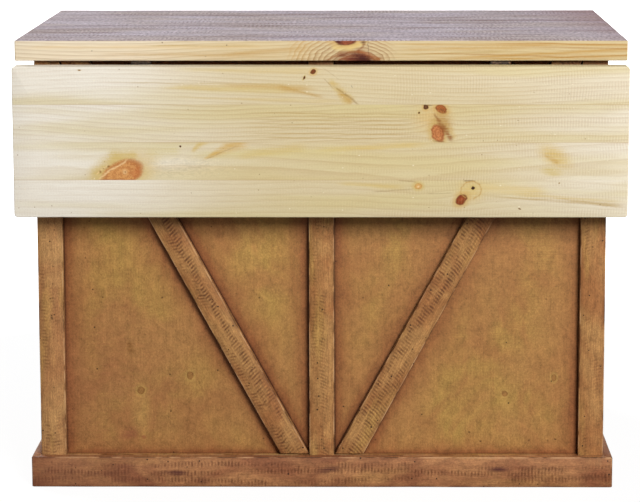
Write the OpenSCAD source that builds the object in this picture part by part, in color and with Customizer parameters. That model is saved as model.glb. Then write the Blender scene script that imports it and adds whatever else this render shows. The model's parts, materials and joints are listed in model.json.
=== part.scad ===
// Kitchen island with a drop leaf: a pine worktop on a brown-stained cupboard base.
// Frame: +X to the right and +Z up, seen from the leaf side. The leaf hangs towards -Y,
// the doors and drawers face +Y. The origin is on the floor, under the middle of the
// box that holds the island with its leaf down. Left is -X and right is +X throughout.

/* [Worktop] */
// Width of the worktop and of the drop leaf
top_w = 1219; // [1000:1:1500]
// Depth of the fixed worktop
top_d = 762; // [680:1:860]
// Thickness of the worktop and the drop leaf
top_t = 41; // [34:1:48]
// Height of the worktop surface above the floor
island_h = 914; // [860:1:960]
// Number of boards glued edge to edge in the worktop
top_boards = 10; // [6:1:14]
// How far the worktop stands past the base on each side
side_overhang = 36; // [25:1:60]
// How far the worktop stands past the base on the leaf side
back_overhang = 20; // [18:1:34]
// How far the worktop stands past the base on the door side
front_overhang = 36; // [34:1:60]

/* [Drop leaf] */
// Length of the leaf from its hinged edge to its free edge
leaf_l = 301; // [270:1:330]
// Number of boards glued edge to edge in the leaf
leaf_boards = 4; // [3:1:6]
// Radius of the leaf's four corners
leaf_corner_r = 7; // [3:1:20]
// Open joint between the worktop and the raised leaf
leaf_gap = 4; // [2:0.5:6]
// Distance of the leaf hinges from the middle of the worktop
leaf_hinge_x = 357; // [300:1:390]

/* [Base] */
// Width of the stiles, braces and corner boards
trim_w = 51; // [44:1:60]
// Thickness of the stiles and braces on the leaf side and the two ends
trim_t = 16; // [12:0.5:20]
// Thickness of the back and side panels
panel_t = 12; // [10:0.5:15]
// Height of the plinth boards
plinth_h = 63; // [50:1:90]
// Thickness of the plinth boards
plinth_t = 18; // [15:0.5:22]
// Thickness of the floor board and the centre divider
carcass_t = 18; // [16:0.5:22]
// Thickness of the shelves
shelf_t = 18; // [15:0.5:22]
// Depth of the shelves
shelf_d = 560; // [300:1:580]
// Height of the shelves above the floor board
shelf_up = 280; // [200:1:340]
// Side of the square blocks behind the plinth
block_w = 45; // [30:1:60]

/* [Door side] */
// Thickness of the face frame, doors and drawer fronts
face_t = 19; // [18:0.5:24]
// Height of the top rail of the face frame
top_rail_h = 38; // [30:1:50]
// Height of the rail between drawer and door
mid_rail_h = 25; // [22:1:35]
// Height of the part of the bottom rail that shows above the plinth
low_rail_h = 32; // [26:1:45]
// Height of the drawer openings
drawer_open_h = 120; // [100:1:140]
// Gap around each door and drawer front
reveal = 2; // [1.6:0.1:2.6]
// Width of the door stiles and rails
door_frame_w = 60; // [50:1:75]
// Thickness of the door panels
door_panel_t = 6; // [5:0.5:8]
// Depth of the drawer boxes
drawer_box_d = 450; // [380:1:500]
// Height of the drawer boxes
drawer_box_h = 100; // [80:1:110]
// Thickness of the drawer box boards
drawer_board_t = 12; // [10:0.5:14]
// Thickness of the drawer bottoms
drawer_bottom_t = 6; // [4:0.5:8]
// Thickness of the drawer runners
runner_t = 20; // [15:0.5:24]
// Radius of the knob heads
knob_r = 16; // [13:0.5:18]
// How far the knobs stand out
knob_out = 30; // [26:1:32]

/* [Hardware] */
// Radius of the leaf hinge barrels
leaf_barrel_r = 3.6; // [3.2:0.1:3.8]
// Length of the leaf hinge barrels
leaf_barrel_l = 38; // [34:1:50]
// Reach of the leaf hinge plates from their pin
leaf_plate_l = 30; // [28:1:31]
// Distance from the boards to the pin of the leaf hinges
pin_drop = 4.5; // [4.3:0.1:5]
// Thickness of the leaf hinge plates and the stay brackets
plate_t = 2; // [1.6:0.1:2.5]
// Radius of the door hinge barrels
door_barrel_r = 3.2; // [2.8:0.1:3.4]
// Length of the door hinge barrels
door_barrel_l = 50; // [40:1:64]
// Thickness of the door hinge plates
door_plate_t = 1.6; // [1.2:0.1:2]
// Radius of the hinge pins
hinge_pin_r = 1.6; // [1.2:0.1:1.9]
// Distance of the folding stays' pivots below the leaf's pin
stay_drop = 150; // [130:1:165]
// Width of the stay links
stay_link_w = 12; // [10:0.5:13]
// Thickness of the stay links
stay_link_t = 2.5; // [2:0.1:3]
// Radius of the stay rivets
rivet_r = 2.5; // [2:0.1:3]
// Radius of the wood screws
screw_r = 2; // [1.6:0.1:2.4]
// Length of the screws in the hinges and brackets
screw_l = 14; // [12:0.5:16]
// Radius of the shelf pins
shelf_pin_r = 2.5; // [2:0.1:3]

/* [Hidden] */

// Colours
pine = [0.86, 0.72, 0.51];
stain = [0.36, 0.22, 0.12];
dark_stain = [0.27, 0.15, 0.08];
bare_wood = [0.78, 0.64, 0.45];
bronze = [0.16, 0.12, 0.09];
steel = [0.62, 0.62, 0.60];

// Line of glue between boards that lie edge to edge
glue_line = 0.1;
// Radial play of pins, rivets and screws in their holes
hole_play = 0.05;
// Play between moving metal faces that lie side by side
side_play = 0.2;
// Play of the panels in their grooves
groove_play = 0.2;
// Room under a drawer box and a shelf
rest_play = 0.2;

// Heights
z_under = island_h - top_t;
z_door_low = plinth_h + low_rail_h;
z_deck = z_door_low - carcass_t;
z_drawer_high = z_under - top_rail_h;
z_drawer_low = z_drawer_high - drawer_open_h;
z_door_high = z_drawer_low - mid_rail_h;
z_shelf = z_door_low + shelf_up;

// Depths, from the leaf's outer face to the worktop's edge over the doors
total_d = top_d + leaf_gap / 2 + pin_drop + top_t;
y_top_edge = total_d / 2;
y_edge = y_top_edge - top_d;
pin_y = y_edge - leaf_gap / 2;
pin_z = z_under - pin_drop;
leaf_in_y = pin_y - pin_drop;
leaf_out_y = leaf_in_y - top_t;
leaf_z = pin_z - leaf_gap / 2;
y_back = y_edge + back_overhang;
y_panel = y_back + trim_t;
y_inside = y_panel + panel_t;
y_face = y_top_edge - front_overhang;
y_frame = y_face - face_t;

// Widths, on the right half
half_w = top_w / 2 - side_overhang;
x_side = half_w - trim_t;
x_inside = x_side - panel_t;
x_open_out = half_w - trim_w;
x_open_in = trim_w / 2;
x_divider = carcass_t / 2;

// Boards of the worktop and the leaf
top_board_w = top_d / top_boards;
leaf_board_w = leaf_l / leaf_boards;

// Screws: head, how far a cut runs past a face, and the depth of the heads in the kickers
head_to_shank = 1.8;
screw_head_r = head_to_shank * screw_r;
screw_head_t = 1.2;
cut_over = 1;
kicker_sink = 16;
cleat_w = 22;

// Hinges
knuckles = 5;
knuckle_gap = 0.3;
pin_head_out = 0.9;
pin_head_r = hinge_pin_r + pin_head_out;
pin_head_t = 1;
// Places of the screws on a leaf hinge plate: along the barrel and out from the pin
plate_screw_places = [[0, 0.42], [-0.32, 0.76], [0.32, 0.76]];
// The door hinge pin stands in front of the face, over the middle of the gap, and the
// plates stop short of the back of the doors
door_barrel_gap = 0.8;
door_plate_short = 1.5;
door_pin_out = door_barrel_r + door_barrel_gap;
door_pin_x = x_open_out - reveal / 2;
door_pin_y = y_face + door_pin_out;
door_plate_gap = 0.3;
door_plate_reach = face_t + door_pin_out - door_plate_short;
door_hinge_inset = 90;

// Drawers: side play of the box, and the boards that guide it. The runners, kickers and
// stops reach past the drawer's sides.
box_play = 2.5;
runner_past = 2;
box_x_in = x_open_in + box_play;
box_x_out = x_open_out - box_play;
box_z = z_drawer_low + rest_play;
box_y = y_frame - drawer_box_d;
guide_h = 30;
runner_under = drawer_board_t + box_play + runner_past;
// Middles of the strips over the drawer sides, and the screws that go up through them
kicker_xs = [(x_divider + box_x_in + runner_under) / 2, (x_inside + box_x_out - runner_under) / 2];
kicker_screw_inset = 60;
kicker_ys = [y_inside + kicker_screw_inset, y_frame - kicker_screw_inset];
screw_in_top = 20;
kicker_screw_l = top_rail_h - kicker_sink + screw_in_top;
cleat_screw_l = cleat_w + screw_in_top;
groove_up = 8;
groove_d = drawer_board_t / 2;
stop_l = 25;
stop_h = 20;

// Doors
door_x_in = x_open_in + reveal;
door_x_out = x_open_out - reveal;
door_z_low = z_door_low + reveal;
door_z_high = z_door_high - reveal;
panel_back = 3;
panel_in = 8;
y_door_panel = y_frame + panel_back;
strike_t = 1.2;
strike_w = 14;
catch_h = 25;
catch_d = 16;
catch_gap = 0.4;
catch_down = 60;
knob_down = 150;

// Folding stays, in layers across the stile from its inner edge outwards
stay_plate_w = 20;
stay_plate_l = 40;
stay_screw_z = 13;
rivet_head_r = 4;
rivet_head_t = 1.2;
stay_clear = 0.5;
stay_x = half_w - trim_w / 2 - stay_plate_w / 2;
lower_link_x = stay_x + plate_t + side_play;
lower_head_x = lower_link_x + stay_link_t + side_play;
upper_head_x = lower_head_x + rivet_head_t + side_play;
upper_link_x = upper_head_x + rivet_head_t + side_play;
leaf_ear_x = upper_link_x + stay_link_t + side_play;
// Pivots in the upright plane across the leaf: on the base, and on the leaf down and up
body_pivot = [y_back - plate_t - stay_link_w / 2 - stay_clear, pin_z - stay_drop];
leaf_pivot = [leaf_in_y + plate_t + stay_link_w / 2 + stay_clear, pin_z - stay_drop];
leaf_pivot_up = [pin_y - stay_drop, pin_z + pin_y - leaf_pivot[0]];
// Each link is half as long as the straight stay under the raised leaf
link_l = norm(leaf_pivot_up - body_pivot) / 2;
knee = (body_pivot + leaf_pivot) / 2
    + [0, sqrt(pow(link_l, 2) - pow((body_pivot[0] - leaf_pivot[0]) / 2, 2))];

// Shelf pins: from the front and back edge of the shelf, and depth in the wood
shelf_gap = 1;
shelf_back_gap = 2;
shelf_pin_inset = 50;
shelf_pin_in = 8;
shelf_pin_out = 9;

// Horizontal width of a slanting board of width w that fits a frame run wide and rise high
function cut_width(run, rise, w, turns = 8) =
    turns == 0 ? w
    : w * sqrt(1 + pow((run - cut_width(run, rise, w, turns - 1)) / rise, 2));

module board(low, high) {
    translate(low) cube(high - low);
}

// A right-hand piece, and its mirror image on the left
module pair() {
    children();
    mirror([1, 0, 0]) children();
}

module left() {
    mirror([1, 0, 0]) children();
}

// An outline drawn as Y and Z, given a thickness along X
module upright(x, t) {
    translate([x, 0, 0]) rotate([90, 0, 90]) linear_extrude(t) children();
}

// An outline drawn as X and Z, given a thickness along Y
module facing(y_low, y_high) {
    translate([0, y_high, 0]) rotate([90, 0, 0]) linear_extrude(y_high - y_low) children();
}

// A screw whose head lies in the plane z = 0 and whose point is below
module screw(length) {
    translate([0, 0, -screw_head_t]) cylinder(h = screw_head_t, r = screw_head_r, $fn = 32);
    translate([0, 0, -length]) cylinder(h = length, r = screw_r, $fn = 32);
}

// The hole for that screw; sink is the depth of wood removed above the head
module screw_hole(length, sink = cut_over) {
    translate([0, 0, -screw_head_t - hole_play])
        cylinder(h = screw_head_t + hole_play + sink, r = screw_head_r + hole_play, $fn = 32);
    translate([0, 0, -length - hole_play])
        cylinder(h = length + hole_play, r = screw_r + hole_play, $fn = 32);
}

// Places of the screws, each with its head outwards and its point in the wood

module at_top_plate_screws() {
    pair()
        for (p = plate_screw_places)
            translate([leaf_hinge_x + p[0] * leaf_barrel_l, pin_y + p[1] * leaf_plate_l,
                       z_under - plate_t])
                rotate([180, 0, 0]) children();
}

module at_leaf_plate_screws() {
    pair()
        for (p = plate_screw_places)
            translate([leaf_hinge_x + p[0] * leaf_barrel_l, leaf_in_y + plate_t,
                       pin_z - p[1] * leaf_plate_l])
                rotate([-90, 0, 0]) children();
}

module at_body_bracket_screws() {
    pair()
        for (s = [-1, 1])
            translate([stay_x + stay_plate_w / 2, y_back - plate_t, body_pivot[1] + s * stay_screw_z])
                rotate([90, 0, 0]) children();
}

module at_leaf_bracket_screws() {
    pair()
        for (s = [-1, 1])
            translate([leaf_ear_x + plate_t - stay_plate_w / 2, leaf_in_y + plate_t,
                       leaf_pivot[1] + s * stay_screw_z])
                rotate([-90, 0, 0]) children();
}

module at_kicker_screws() {
    pair()
        for (x = kicker_xs, y = kicker_ys)
            translate([x, y, z_drawer_high + kicker_sink]) rotate([180, 0, 0]) children();
}

module at_cleat_screws() {
    pair()
        translate([(x_open_in + x_open_out) / 2, y_inside + cleat_w / 2, z_under - cleat_w])
            rotate([180, 0, 0]) children();
}

// Worktop and drop leaf

module worktop() {
    color(pine)
        difference() {
            for (i = [0 : top_boards - 1])
                board([-top_w / 2, y_edge + i * top_board_w + (i == 0 ? 0 : glue_line / 2), z_under],
                      [top_w / 2,
                       y_edge + (i + 1) * top_board_w - (i == top_boards - 1 ? 0 : glue_line / 2),
                       island_h]);
            at_top_plate_screws() screw_hole(screw_l);
            at_kicker_screws() screw_hole(kicker_screw_l);
            at_cleat_screws() screw_hole(cleat_screw_l);
        }
}

// The leaf's face with its four round corners, drawn as X and Z
module leaf_outline() {
    translate([-top_w / 2, leaf_z - leaf_l + leaf_corner_r])
        square([top_w, leaf_l - 2 * leaf_corner_r]);
    translate([-top_w / 2 + leaf_corner_r, leaf_z - leaf_l])
        square([top_w - 2 * leaf_corner_r, leaf_l]);
    for (s = [-1, 1], z = [leaf_z - leaf_l + leaf_corner_r, leaf_z - leaf_corner_r])
        translate([s * (top_w / 2 - leaf_corner_r), z]) circle(leaf_corner_r, $fn = 48);
}

module drop_leaf() {
    color(pine)
        difference() {
            facing(leaf_out_y, leaf_in_y) leaf_outline();
            for (i = [1 : leaf_boards - 1])
                board([-top_w, leaf_out_y - cut_over, leaf_z - i * leaf_board_w - glue_line / 2],
                      [top_w, leaf_in_y + cut_over, leaf_z - i * leaf_board_w + glue_line / 2]);
            at_leaf_plate_screws() screw_hole(screw_l);
            at_leaf_bracket_screws() screw_hole(screw_l);
        }
}

// Leaf side of the base

module back_stile() {
    color(stain)
        difference() {
            board([x_open_out, y_back, 0], [half_w, y_panel, z_under]);
            at_body_bracket_screws() screw_hole(screw_l);
        }
}

module back_left_stile() {
    left() back_stile();
}

module back_right_stile() {
    back_stile();
}

module back_centre_stile() {
    color(stain) board([-x_open_in, y_back, 0], [x_open_in, y_panel, z_under]);
}

module back_bottom_rails() {
    color(stain) pair() board([x_open_in, y_back, 0], [x_open_out, y_panel, plinth_h]);
}

// A slanting board from the outer top corner to the inner bottom corner of an opening
module brace(x_in, x_out, z_low, z_high, w) {
    c = cut_width(x_out - x_in, z_high - z_low, w);
    polygon([[x_in, z_low], [x_in + c, z_low], [x_out, z_high], [x_out - c, z_high]]);
}

module back_brace() {
    color(stain)
        facing(y_back, y_panel) brace(x_open_in, x_open_out, plinth_h, z_under, trim_w);
}

module back_left_brace() {
    left() back_brace();
}

module back_right_brace() {
    back_brace();
}

module back_panel() {
    color(dark_stain) board([-x_side, y_panel, 0], [x_side, y_inside, z_under]);
}

// Ends of the base

module shelf_pin_places() {
    for (y = [y_inside + shelf_back_gap + shelf_pin_inset,
              y_inside + shelf_back_gap + shelf_d - shelf_pin_inset])
        translate([0, y, z_shelf - shelf_pin_r]) children();
}

module shelf_pin_hole() {
    rotate([0, 90, 0])
        cylinder(h = cut_over + shelf_pin_in + hole_play, r = shelf_pin_r + hole_play, $fn = 32);
}

module side_panel() {
    color(dark_stain)
        difference() {
            board([x_inside, y_inside, 0], [x_side, y_frame, z_under]);
            shelf_pin_places()
                translate([x_inside - cut_over, 0, 0])
                    shelf_pin_hole();
        }
}

module left_side_panel() {
    left() side_panel();
}

module right_side_panel() {
    side_panel();
}

module side_stiles() {
    color(stain)
        pair() {
            board([x_side, y_panel, 0], [half_w, y_back + trim_w, z_under]);
            board([x_side, y_face - trim_w, 0], [half_w, y_frame, z_under]);
        }
}

module side_rails() {
    color(stain)
        pair()
            for (z = [[0, plinth_h], [z_under - trim_w, z_under]])
                board([x_side, y_back + trim_w + glue_line, z[0]],
                      [half_w, y_face - trim_w - glue_line, z[1]]);
}

// Plinth: four boards with mitred corners, and the blocks that carry the floor board

module plinth_back_board() {
    color(dark_stain)
        linear_extrude(plinth_h)
            polygon([[-half_w, y_back], [half_w, y_back],
                     [half_w + plinth_t, y_back - plinth_t], [-half_w - plinth_t, y_back - plinth_t]]);
}

module plinth_front_board() {
    color(dark_stain)
        linear_extrude(plinth_h)
            polygon([[-half_w, y_face], [-half_w - plinth_t, y_face + plinth_t],
                     [half_w + plinth_t, y_face + plinth_t], [half_w, y_face]]);
}

module plinth_side_boards() {
    color(dark_stain)
        pair()
            linear_extrude(plinth_h)
                polygon([[half_w, y_back], [half_w + plinth_t, y_back - plinth_t],
                         [half_w + plinth_t, y_face + plinth_t], [half_w, y_face]]);
}

module plinth_blocks() {
    color(bare_wood)
        for (y = [y_inside, y_frame - block_w]) {
            pair() board([x_inside - block_w, y, 0], [x_inside, y + block_w, z_deck]);
            board([-block_w / 2, y, 0], [block_w / 2, y + block_w, z_deck]);
        }
}

// Inside of the base

module floor_board() {
    color(stain) board([-x_inside, y_inside, z_deck], [x_inside, y_frame, z_door_low]);
}

module centre_divider() {
    color(stain)
        difference() {
            board([-x_divider, y_inside, z_door_low], [x_divider, y_frame, z_under]);
            pair()
                shelf_pin_places()
                    translate([x_divider - shelf_pin_in - hole_play, 0, 0])
                        shelf_pin_hole();
        }
}

module shelf() {
    color(stain)
        board([x_divider + shelf_gap, y_inside + shelf_back_gap, z_shelf + rest_play],
              [x_inside - shelf_gap, y_inside + shelf_back_gap + shelf_d, z_shelf + rest_play + shelf_t]);
}

module left_shelf() {
    left() shelf();
}

module right_shelf() {
    shelf();
}

module shelf_pins() {
    color(steel)
        pair()
            shelf_pin_places() {
                for (x = [x_divider - shelf_pin_in, x_inside - shelf_pin_out])
                    translate([x, 0, 0])
                        rotate([0, 90, 0])
                            cylinder(h = shelf_pin_in + shelf_pin_out, r = shelf_pin_r, $fn = 32);
            }
}

// Cleats behind the worktop's edge over the leaf side

module worktop_cleats() {
    color(bare_wood)
        difference() {
            pair()
                board([box_x_in + runner_under, y_inside, z_under - cleat_w],
                      [box_x_out - runner_under, y_inside + cleat_w, z_under]);
            at_cleat_screws() screw_hole(cleat_screw_l);
        }
}

module base_screws() {
    color(steel) {
        at_top_plate_screws() screw(screw_l);
        at_body_bracket_screws() screw(screw_l);
        at_kicker_screws() screw(kicker_screw_l);
        at_cleat_screws() screw(cleat_screw_l);
    }
}

// Face frame on the door side

module door_hinge_heights() {
    for (z = [door_z_low + door_hinge_inset, door_z_high - door_hinge_inset])
        translate([door_pin_x, door_pin_y, z]) children();
}

module face_stiles() {
    color(stain) {
        pair()
            difference() {
                board([x_open_out, y_frame, 0], [half_w, y_face, z_under]);
                door_hinge_heights()
                    board([-cut_over, -door_plate_reach, -door_barrel_l / 2],
                          [door_plate_gap + door_plate_t, 0, door_barrel_l / 2]);
            }
        board([-x_open_in, y_frame, z_door_low + glue_line],
              [x_open_in, y_face, z_drawer_high - glue_line]);
    }
}

module face_rails() {
    color(stain) {
        board([-x_open_out, y_frame, 0], [x_open_out, y_face, z_door_low]);
        board([-x_open_out, y_frame, z_drawer_high], [x_open_out, y_face, z_under]);
        pair() board([x_open_in, y_frame, z_door_high], [x_open_out, y_face, z_drawer_low]);
    }
}

// Drawer carriage

module drawer_runners() {
    color(bare_wood)
        pair() {
            board([x_divider, y_inside, z_drawer_low - runner_t],
                  [box_x_in + runner_under, y_frame, z_drawer_low]);
            board([box_x_out - runner_under, y_inside, z_drawer_low - runner_t],
                  [x_inside, y_frame, z_drawer_low]);
        }
}

module drawer_guides() {
    color(bare_wood)
        pair() {
            board([x_divider, y_inside, z_drawer_low], [x_open_in, y_frame, z_drawer_low + guide_h]);
            board([x_open_out, y_inside, z_drawer_low], [x_inside, y_frame, z_drawer_low + guide_h]);
        }
}

module drawer_kickers() {
    color(bare_wood)
        difference() {
            pair() {
                board([x_divider, y_inside, z_drawer_high], [box_x_in + runner_under, y_frame, z_under]);
                board([box_x_out - runner_under, y_inside, z_drawer_high], [x_inside, y_frame, z_under]);
            }
            at_kicker_screws() screw_hole(kicker_screw_l, kicker_sink + cut_over);
        }
}

module drawer_stops() {
    color(bare_wood)
        pair()
            for (x = [[x_open_in, box_x_in + runner_under], [box_x_out - runner_under, x_open_out]])
                board([x[0], box_y - rest_play - stop_l, z_drawer_low],
                      [x[1], box_y - rest_play, z_drawer_low + stop_h]);
}

// Hinges

// One half of a hinge with its pin along X. It takes every second knuckle from first on,
// and its plate reaches towards +Y between the heights low and high above the pin.
module hinge_half(first, barrel_l, barrel_r, low, high, reach) {
    step = barrel_l / knuckles;
    start = barrel_r + knuckle_gap;
    difference() {
        union() {
            for (k = [first : 2 : knuckles - 1])
                translate([-barrel_l / 2 + k * step + knuckle_gap / 2, 0, 0]) {
                    rotate([0, 90, 0]) cylinder(h = step - knuckle_gap, r = barrel_r, $fn = 48);
                    translate([0, 0, low]) cube([step - knuckle_gap, start + knuckle_gap, high - low]);
                }
            board([-barrel_l / 2, start, low], [barrel_l / 2, reach, high]);
        }
        translate([-barrel_l, 0, 0])
            rotate([0, 90, 0])
                cylinder(h = 2 * barrel_l, r = hinge_pin_r + hole_play, $fn = 48);
    }
}

module hinge_pin(barrel_l) {
    l = barrel_l + 2 * side_play;
    rotate([0, 90, 0]) {
        cylinder(h = l, r = hinge_pin_r, center = true, $fn = 48);
        for (s = [-1, 1])
            translate([0, 0, s * (l + pin_head_t) / 2])
                cylinder(h = pin_head_t, r = pin_head_r, center = true, $fn = 48);
    }
}

module leaf_hinge_top_plates() {
    color(bronze)
        difference() {
            pair()
                translate([leaf_hinge_x, pin_y, pin_z])
                    hinge_half(0, leaf_barrel_l, leaf_barrel_r, pin_drop - plate_t, pin_drop, leaf_plate_l);
            at_top_plate_screws() screw_hole(screw_l);
        }
}

module leaf_hinge_leaf_plates() {
    color(bronze)
        difference() {
            pair()
                translate([leaf_hinge_x, pin_y, pin_z])
                    rotate([90, 0, 0])
                        mirror([0, 1, 0])
                            hinge_half(1, leaf_barrel_l, leaf_barrel_r, pin_drop - plate_t, pin_drop,
                                       leaf_plate_l);
            at_leaf_plate_screws() screw_hole(screw_l);
        }
}

// Turns a hinge with its pin along X upright, with its plate towards -Y and its high side to +X
module stand_hinge() {
    rotate(a = 180, v = [1, 0, 1]) children();
}

module hinge_pins() {
    color(bronze)
        pair() {
            translate([leaf_hinge_x, pin_y, pin_z]) hinge_pin(leaf_barrel_l);
            door_hinge_heights() stand_hinge() hinge_pin(door_barrel_l);
        }
}

module door_hinge_frame_plates() {
    color(bronze)
        pair()
            door_hinge_heights()
                stand_hinge()
                    hinge_half(0, door_barrel_l, door_barrel_r, door_plate_gap,
                               door_plate_gap + door_plate_t, door_plate_reach);
}

module door_hinge_plates() {
    color(bronze)
        door_hinge_heights()
            mirror([1, 0, 0])
                stand_hinge()
                    hinge_half(1, door_barrel_l, door_barrel_r, door_plate_gap,
                               door_plate_gap + door_plate_t, door_plate_reach);
}

module left_door_hinge_plates() {
    left() door_hinge_plates();
}

module right_door_hinge_plates() {
    door_hinge_plates();
}

// The leaf's screws

module leaf_screws() {
    color(steel) {
        at_leaf_plate_screws() screw(screw_l);
        at_leaf_bracket_screws() screw(screw_l);
    }
}

// Folding stays

// A rivet along X through a bracket's ear and one link, with a head at each end
module rivet(p, x_low, x_high) {
    upright(x_low, x_high - x_low) translate(p) circle(rivet_r, $fn = 48);
    for (x = [x_low, x_high - rivet_head_t])
        upright(x, rivet_head_t) translate(p) circle(rivet_head_r, $fn = 48);
}

// An ear round a pivot, joined to a plate whose face lies at y
module ear(p, y, x) {
    upright(x, plate_t) {
        translate(p) circle(stay_link_w / 2, $fn = 48);
        translate([min(p[0], y), p[1] - stay_link_w / 2]) square([abs(y - p[0]), stay_link_w]);
    }
}

module stay_body_brackets() {
    color(bronze)
        difference() {
            pair() {
                board([stay_x, y_back - plate_t, body_pivot[1] - stay_plate_l / 2],
                      [stay_x + stay_plate_w, y_back, body_pivot[1] + stay_plate_l / 2]);
                ear(body_pivot, y_back, stay_x);
                rivet(body_pivot, stay_x - rivet_head_t, lower_head_x + rivet_head_t);
            }
            at_body_bracket_screws() screw_hole(screw_l);
        }
}

module stay_leaf_brackets() {
    color(bronze)
        difference() {
            pair() {
                board([leaf_ear_x + plate_t - stay_plate_w, leaf_in_y, leaf_pivot[1] - stay_plate_l / 2],
                      [leaf_ear_x + plate_t, leaf_in_y + plate_t, leaf_pivot[1] + stay_plate_l / 2]);
                ear(leaf_pivot, leaf_in_y, leaf_ear_x);
                rivet(leaf_pivot, upper_head_x, leaf_ear_x + plate_t + rivet_head_t);
            }
            at_leaf_bracket_screws() screw_hole(screw_l);
        }
}

// A flat link from pivot p to the knee, with a rivet hole at p and a rivet head at the knee
module link(p, x, knee_x) {
    d = knee - p;
    difference() {
        union() {
            upright(x, stay_link_t) {
                translate(p) circle(stay_link_w / 2, $fn = 48);
                translate(knee) circle(stay_link_w / 2, $fn = 48);
                translate(p)
                    rotate(atan2(d[1], d[0]))
                        translate([0, -stay_link_w / 2]) square([norm(d), stay_link_w]);
            }
            upright(knee_x, stay_link_t + 2 * rivet_head_t)
                translate(knee) circle(rivet_head_r, $fn = 48);
        }
        upright(x - cut_over, stay_link_t + 2 * cut_over)
            translate(p) circle(rivet_r + hole_play, $fn = 48);
    }
}

module lower_link() {
    color(bronze) link(body_pivot, lower_link_x, lower_link_x - rivet_head_t);
}

module upper_link() {
    color(bronze) link(leaf_pivot, upper_link_x, upper_link_x - rivet_head_t);
}

module left_lower_link() {
    left() lower_link();
}

module right_lower_link() {
    lower_link();
}

module left_upper_link() {
    left() upper_link();
}

module right_upper_link() {
    upper_link();
}

// Doors

module door_catches() {
    color(steel)
        pair()
            board([x_divider, y_frame - strike_t - catch_gap - catch_d, z_door_high - catch_down - catch_h],
                  [door_x_in + strike_w, y_frame - strike_t - catch_gap, z_door_high - catch_down]);
}

module door_strike() {
    color(steel)
        board([door_x_in, y_frame - strike_t, z_door_high - catch_down - catch_h],
              [door_x_in + strike_w, y_frame, z_door_high - catch_down]);
}

module left_door_strike() {
    left() door_strike();
}

module right_door_strike() {
    door_strike();
}

// The door's panel, grown by play on every side
module panel_box(play = 0) {
    board([door_x_in + door_frame_w - panel_in - play, y_door_panel - play,
           door_z_low + door_frame_w - panel_in - play],
          [door_x_out - door_frame_w + panel_in + play, y_door_panel + door_panel_t + play,
           door_z_high - door_frame_w + panel_in + play]);
}

module door_frame() {
    x_rail = [door_x_in + door_frame_w + glue_line, door_x_out - door_frame_w - glue_line];
    color(stain)
        difference() {
            union() {
                for (x = [door_x_in, door_x_out - door_frame_w])
                    board([x, y_frame, door_z_low], [x + door_frame_w, y_face, door_z_high]);
                for (z = [door_z_low, door_z_high - door_frame_w])
                    board([x_rail[0], y_frame, z], [x_rail[1], y_face, z + door_frame_w]);
            }
            panel_box(groove_play);
            door_hinge_heights()
                board([-door_plate_gap - door_plate_t, -door_plate_reach, -door_barrel_l / 2],
                      [cut_over, 0, door_barrel_l / 2]);
        }
}

module left_door_frame() {
    left() door_frame();
}

module right_door_frame() {
    door_frame();
}

module left_door_panel() {
    left() color(dark_stain) panel_box();
}

module right_door_panel() {
    color(dark_stain) panel_box();
}

module door_brace() {
    color(stain)
        facing(y_door_panel + door_panel_t, y_face)
            brace(door_x_in + door_frame_w, door_x_out - door_frame_w,
                  door_z_low + door_frame_w, door_z_high - door_frame_w, trim_w);
}

module left_door_brace() {
    left() door_brace();
}

module right_door_brace() {
    door_brace();
}

// A turned knob whose foot lies on the plane y = 0 and whose head points to +Y
module knob() {
    color(bronze)
        rotate([-90, 0, 0])
            rotate_extrude($fn = 64)
                polygon([[0, 0], [0.62 * knob_r, 0], [0.62 * knob_r, 2.5], [0.38 * knob_r, 5],
                         [0.34 * knob_r, 0.5 * knob_out], [0.6 * knob_r, 0.62 * knob_out],
                         [knob_r, 0.68 * knob_out], [knob_r, 0.8 * knob_out],
                         [0.85 * knob_r, 0.92 * knob_out], [0.5 * knob_r, knob_out], [0, knob_out]]);
}

module at_door_knob() {
    translate([door_x_in + door_frame_w / 2, y_face, door_z_high - knob_down]) children();
}

module left_door_knob() {
    left() at_door_knob() knob();
}

module right_door_knob() {
    at_door_knob() knob();
}

// Drawers

module drawer_front() {
    color(stain)
        board([x_open_in + reveal, y_frame, z_drawer_low + reveal],
              [x_open_out - reveal, y_face, z_drawer_high - reveal]);
}

module left_drawer_front() {
    left() drawer_front();
}

module right_drawer_front() {
    drawer_front();
}

// Two long sides, a front and a back board between them, and a bottom in grooves
module drawer_box() {
    x = [box_x_in, box_x_in + drawer_board_t, box_x_out - drawer_board_t, box_x_out];
    y = [box_y, box_y + drawer_board_t, y_frame - drawer_board_t, y_frame];
    z = [box_z, box_z + drawer_box_h];
    g = groove_d - glue_line;
    z_bottom = box_z + groove_up;
    bottom = [[x[1] - g, y[1] - g, z_bottom], [x[2] + g, y[2] + g, z_bottom + drawer_bottom_t]];
    play = [glue_line, glue_line, glue_line];
    color(bare_wood) {
        difference() {
            union() {
                board([x[0], y[0], z[0]], [x[1], y[3], z[1]]);
                board([x[2], y[0], z[0]], [x[3], y[3], z[1]]);
                board([x[1] + glue_line, y[0], z[0]], [x[2] - glue_line, y[1], z[1]]);
                board([x[1] + glue_line, y[2], z[0]], [x[2] - glue_line, y[3], z[1]]);
            }
            board(bottom[0] - play, bottom[1] + play);
        }
        board(bottom[0], bottom[1]);
    }
}

module left_drawer_box() {
    left() drawer_box();
}

module right_drawer_box() {
    drawer_box();
}

module at_drawer_knob() {
    translate([(x_open_in + x_open_out) / 2, y_face, (z_drawer_low + z_drawer_high) / 2]) children();
}

module left_drawer_knob() {
    left() at_drawer_knob() knob();
}

module right_drawer_knob() {
    at_drawer_knob() knob();
}

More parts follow.
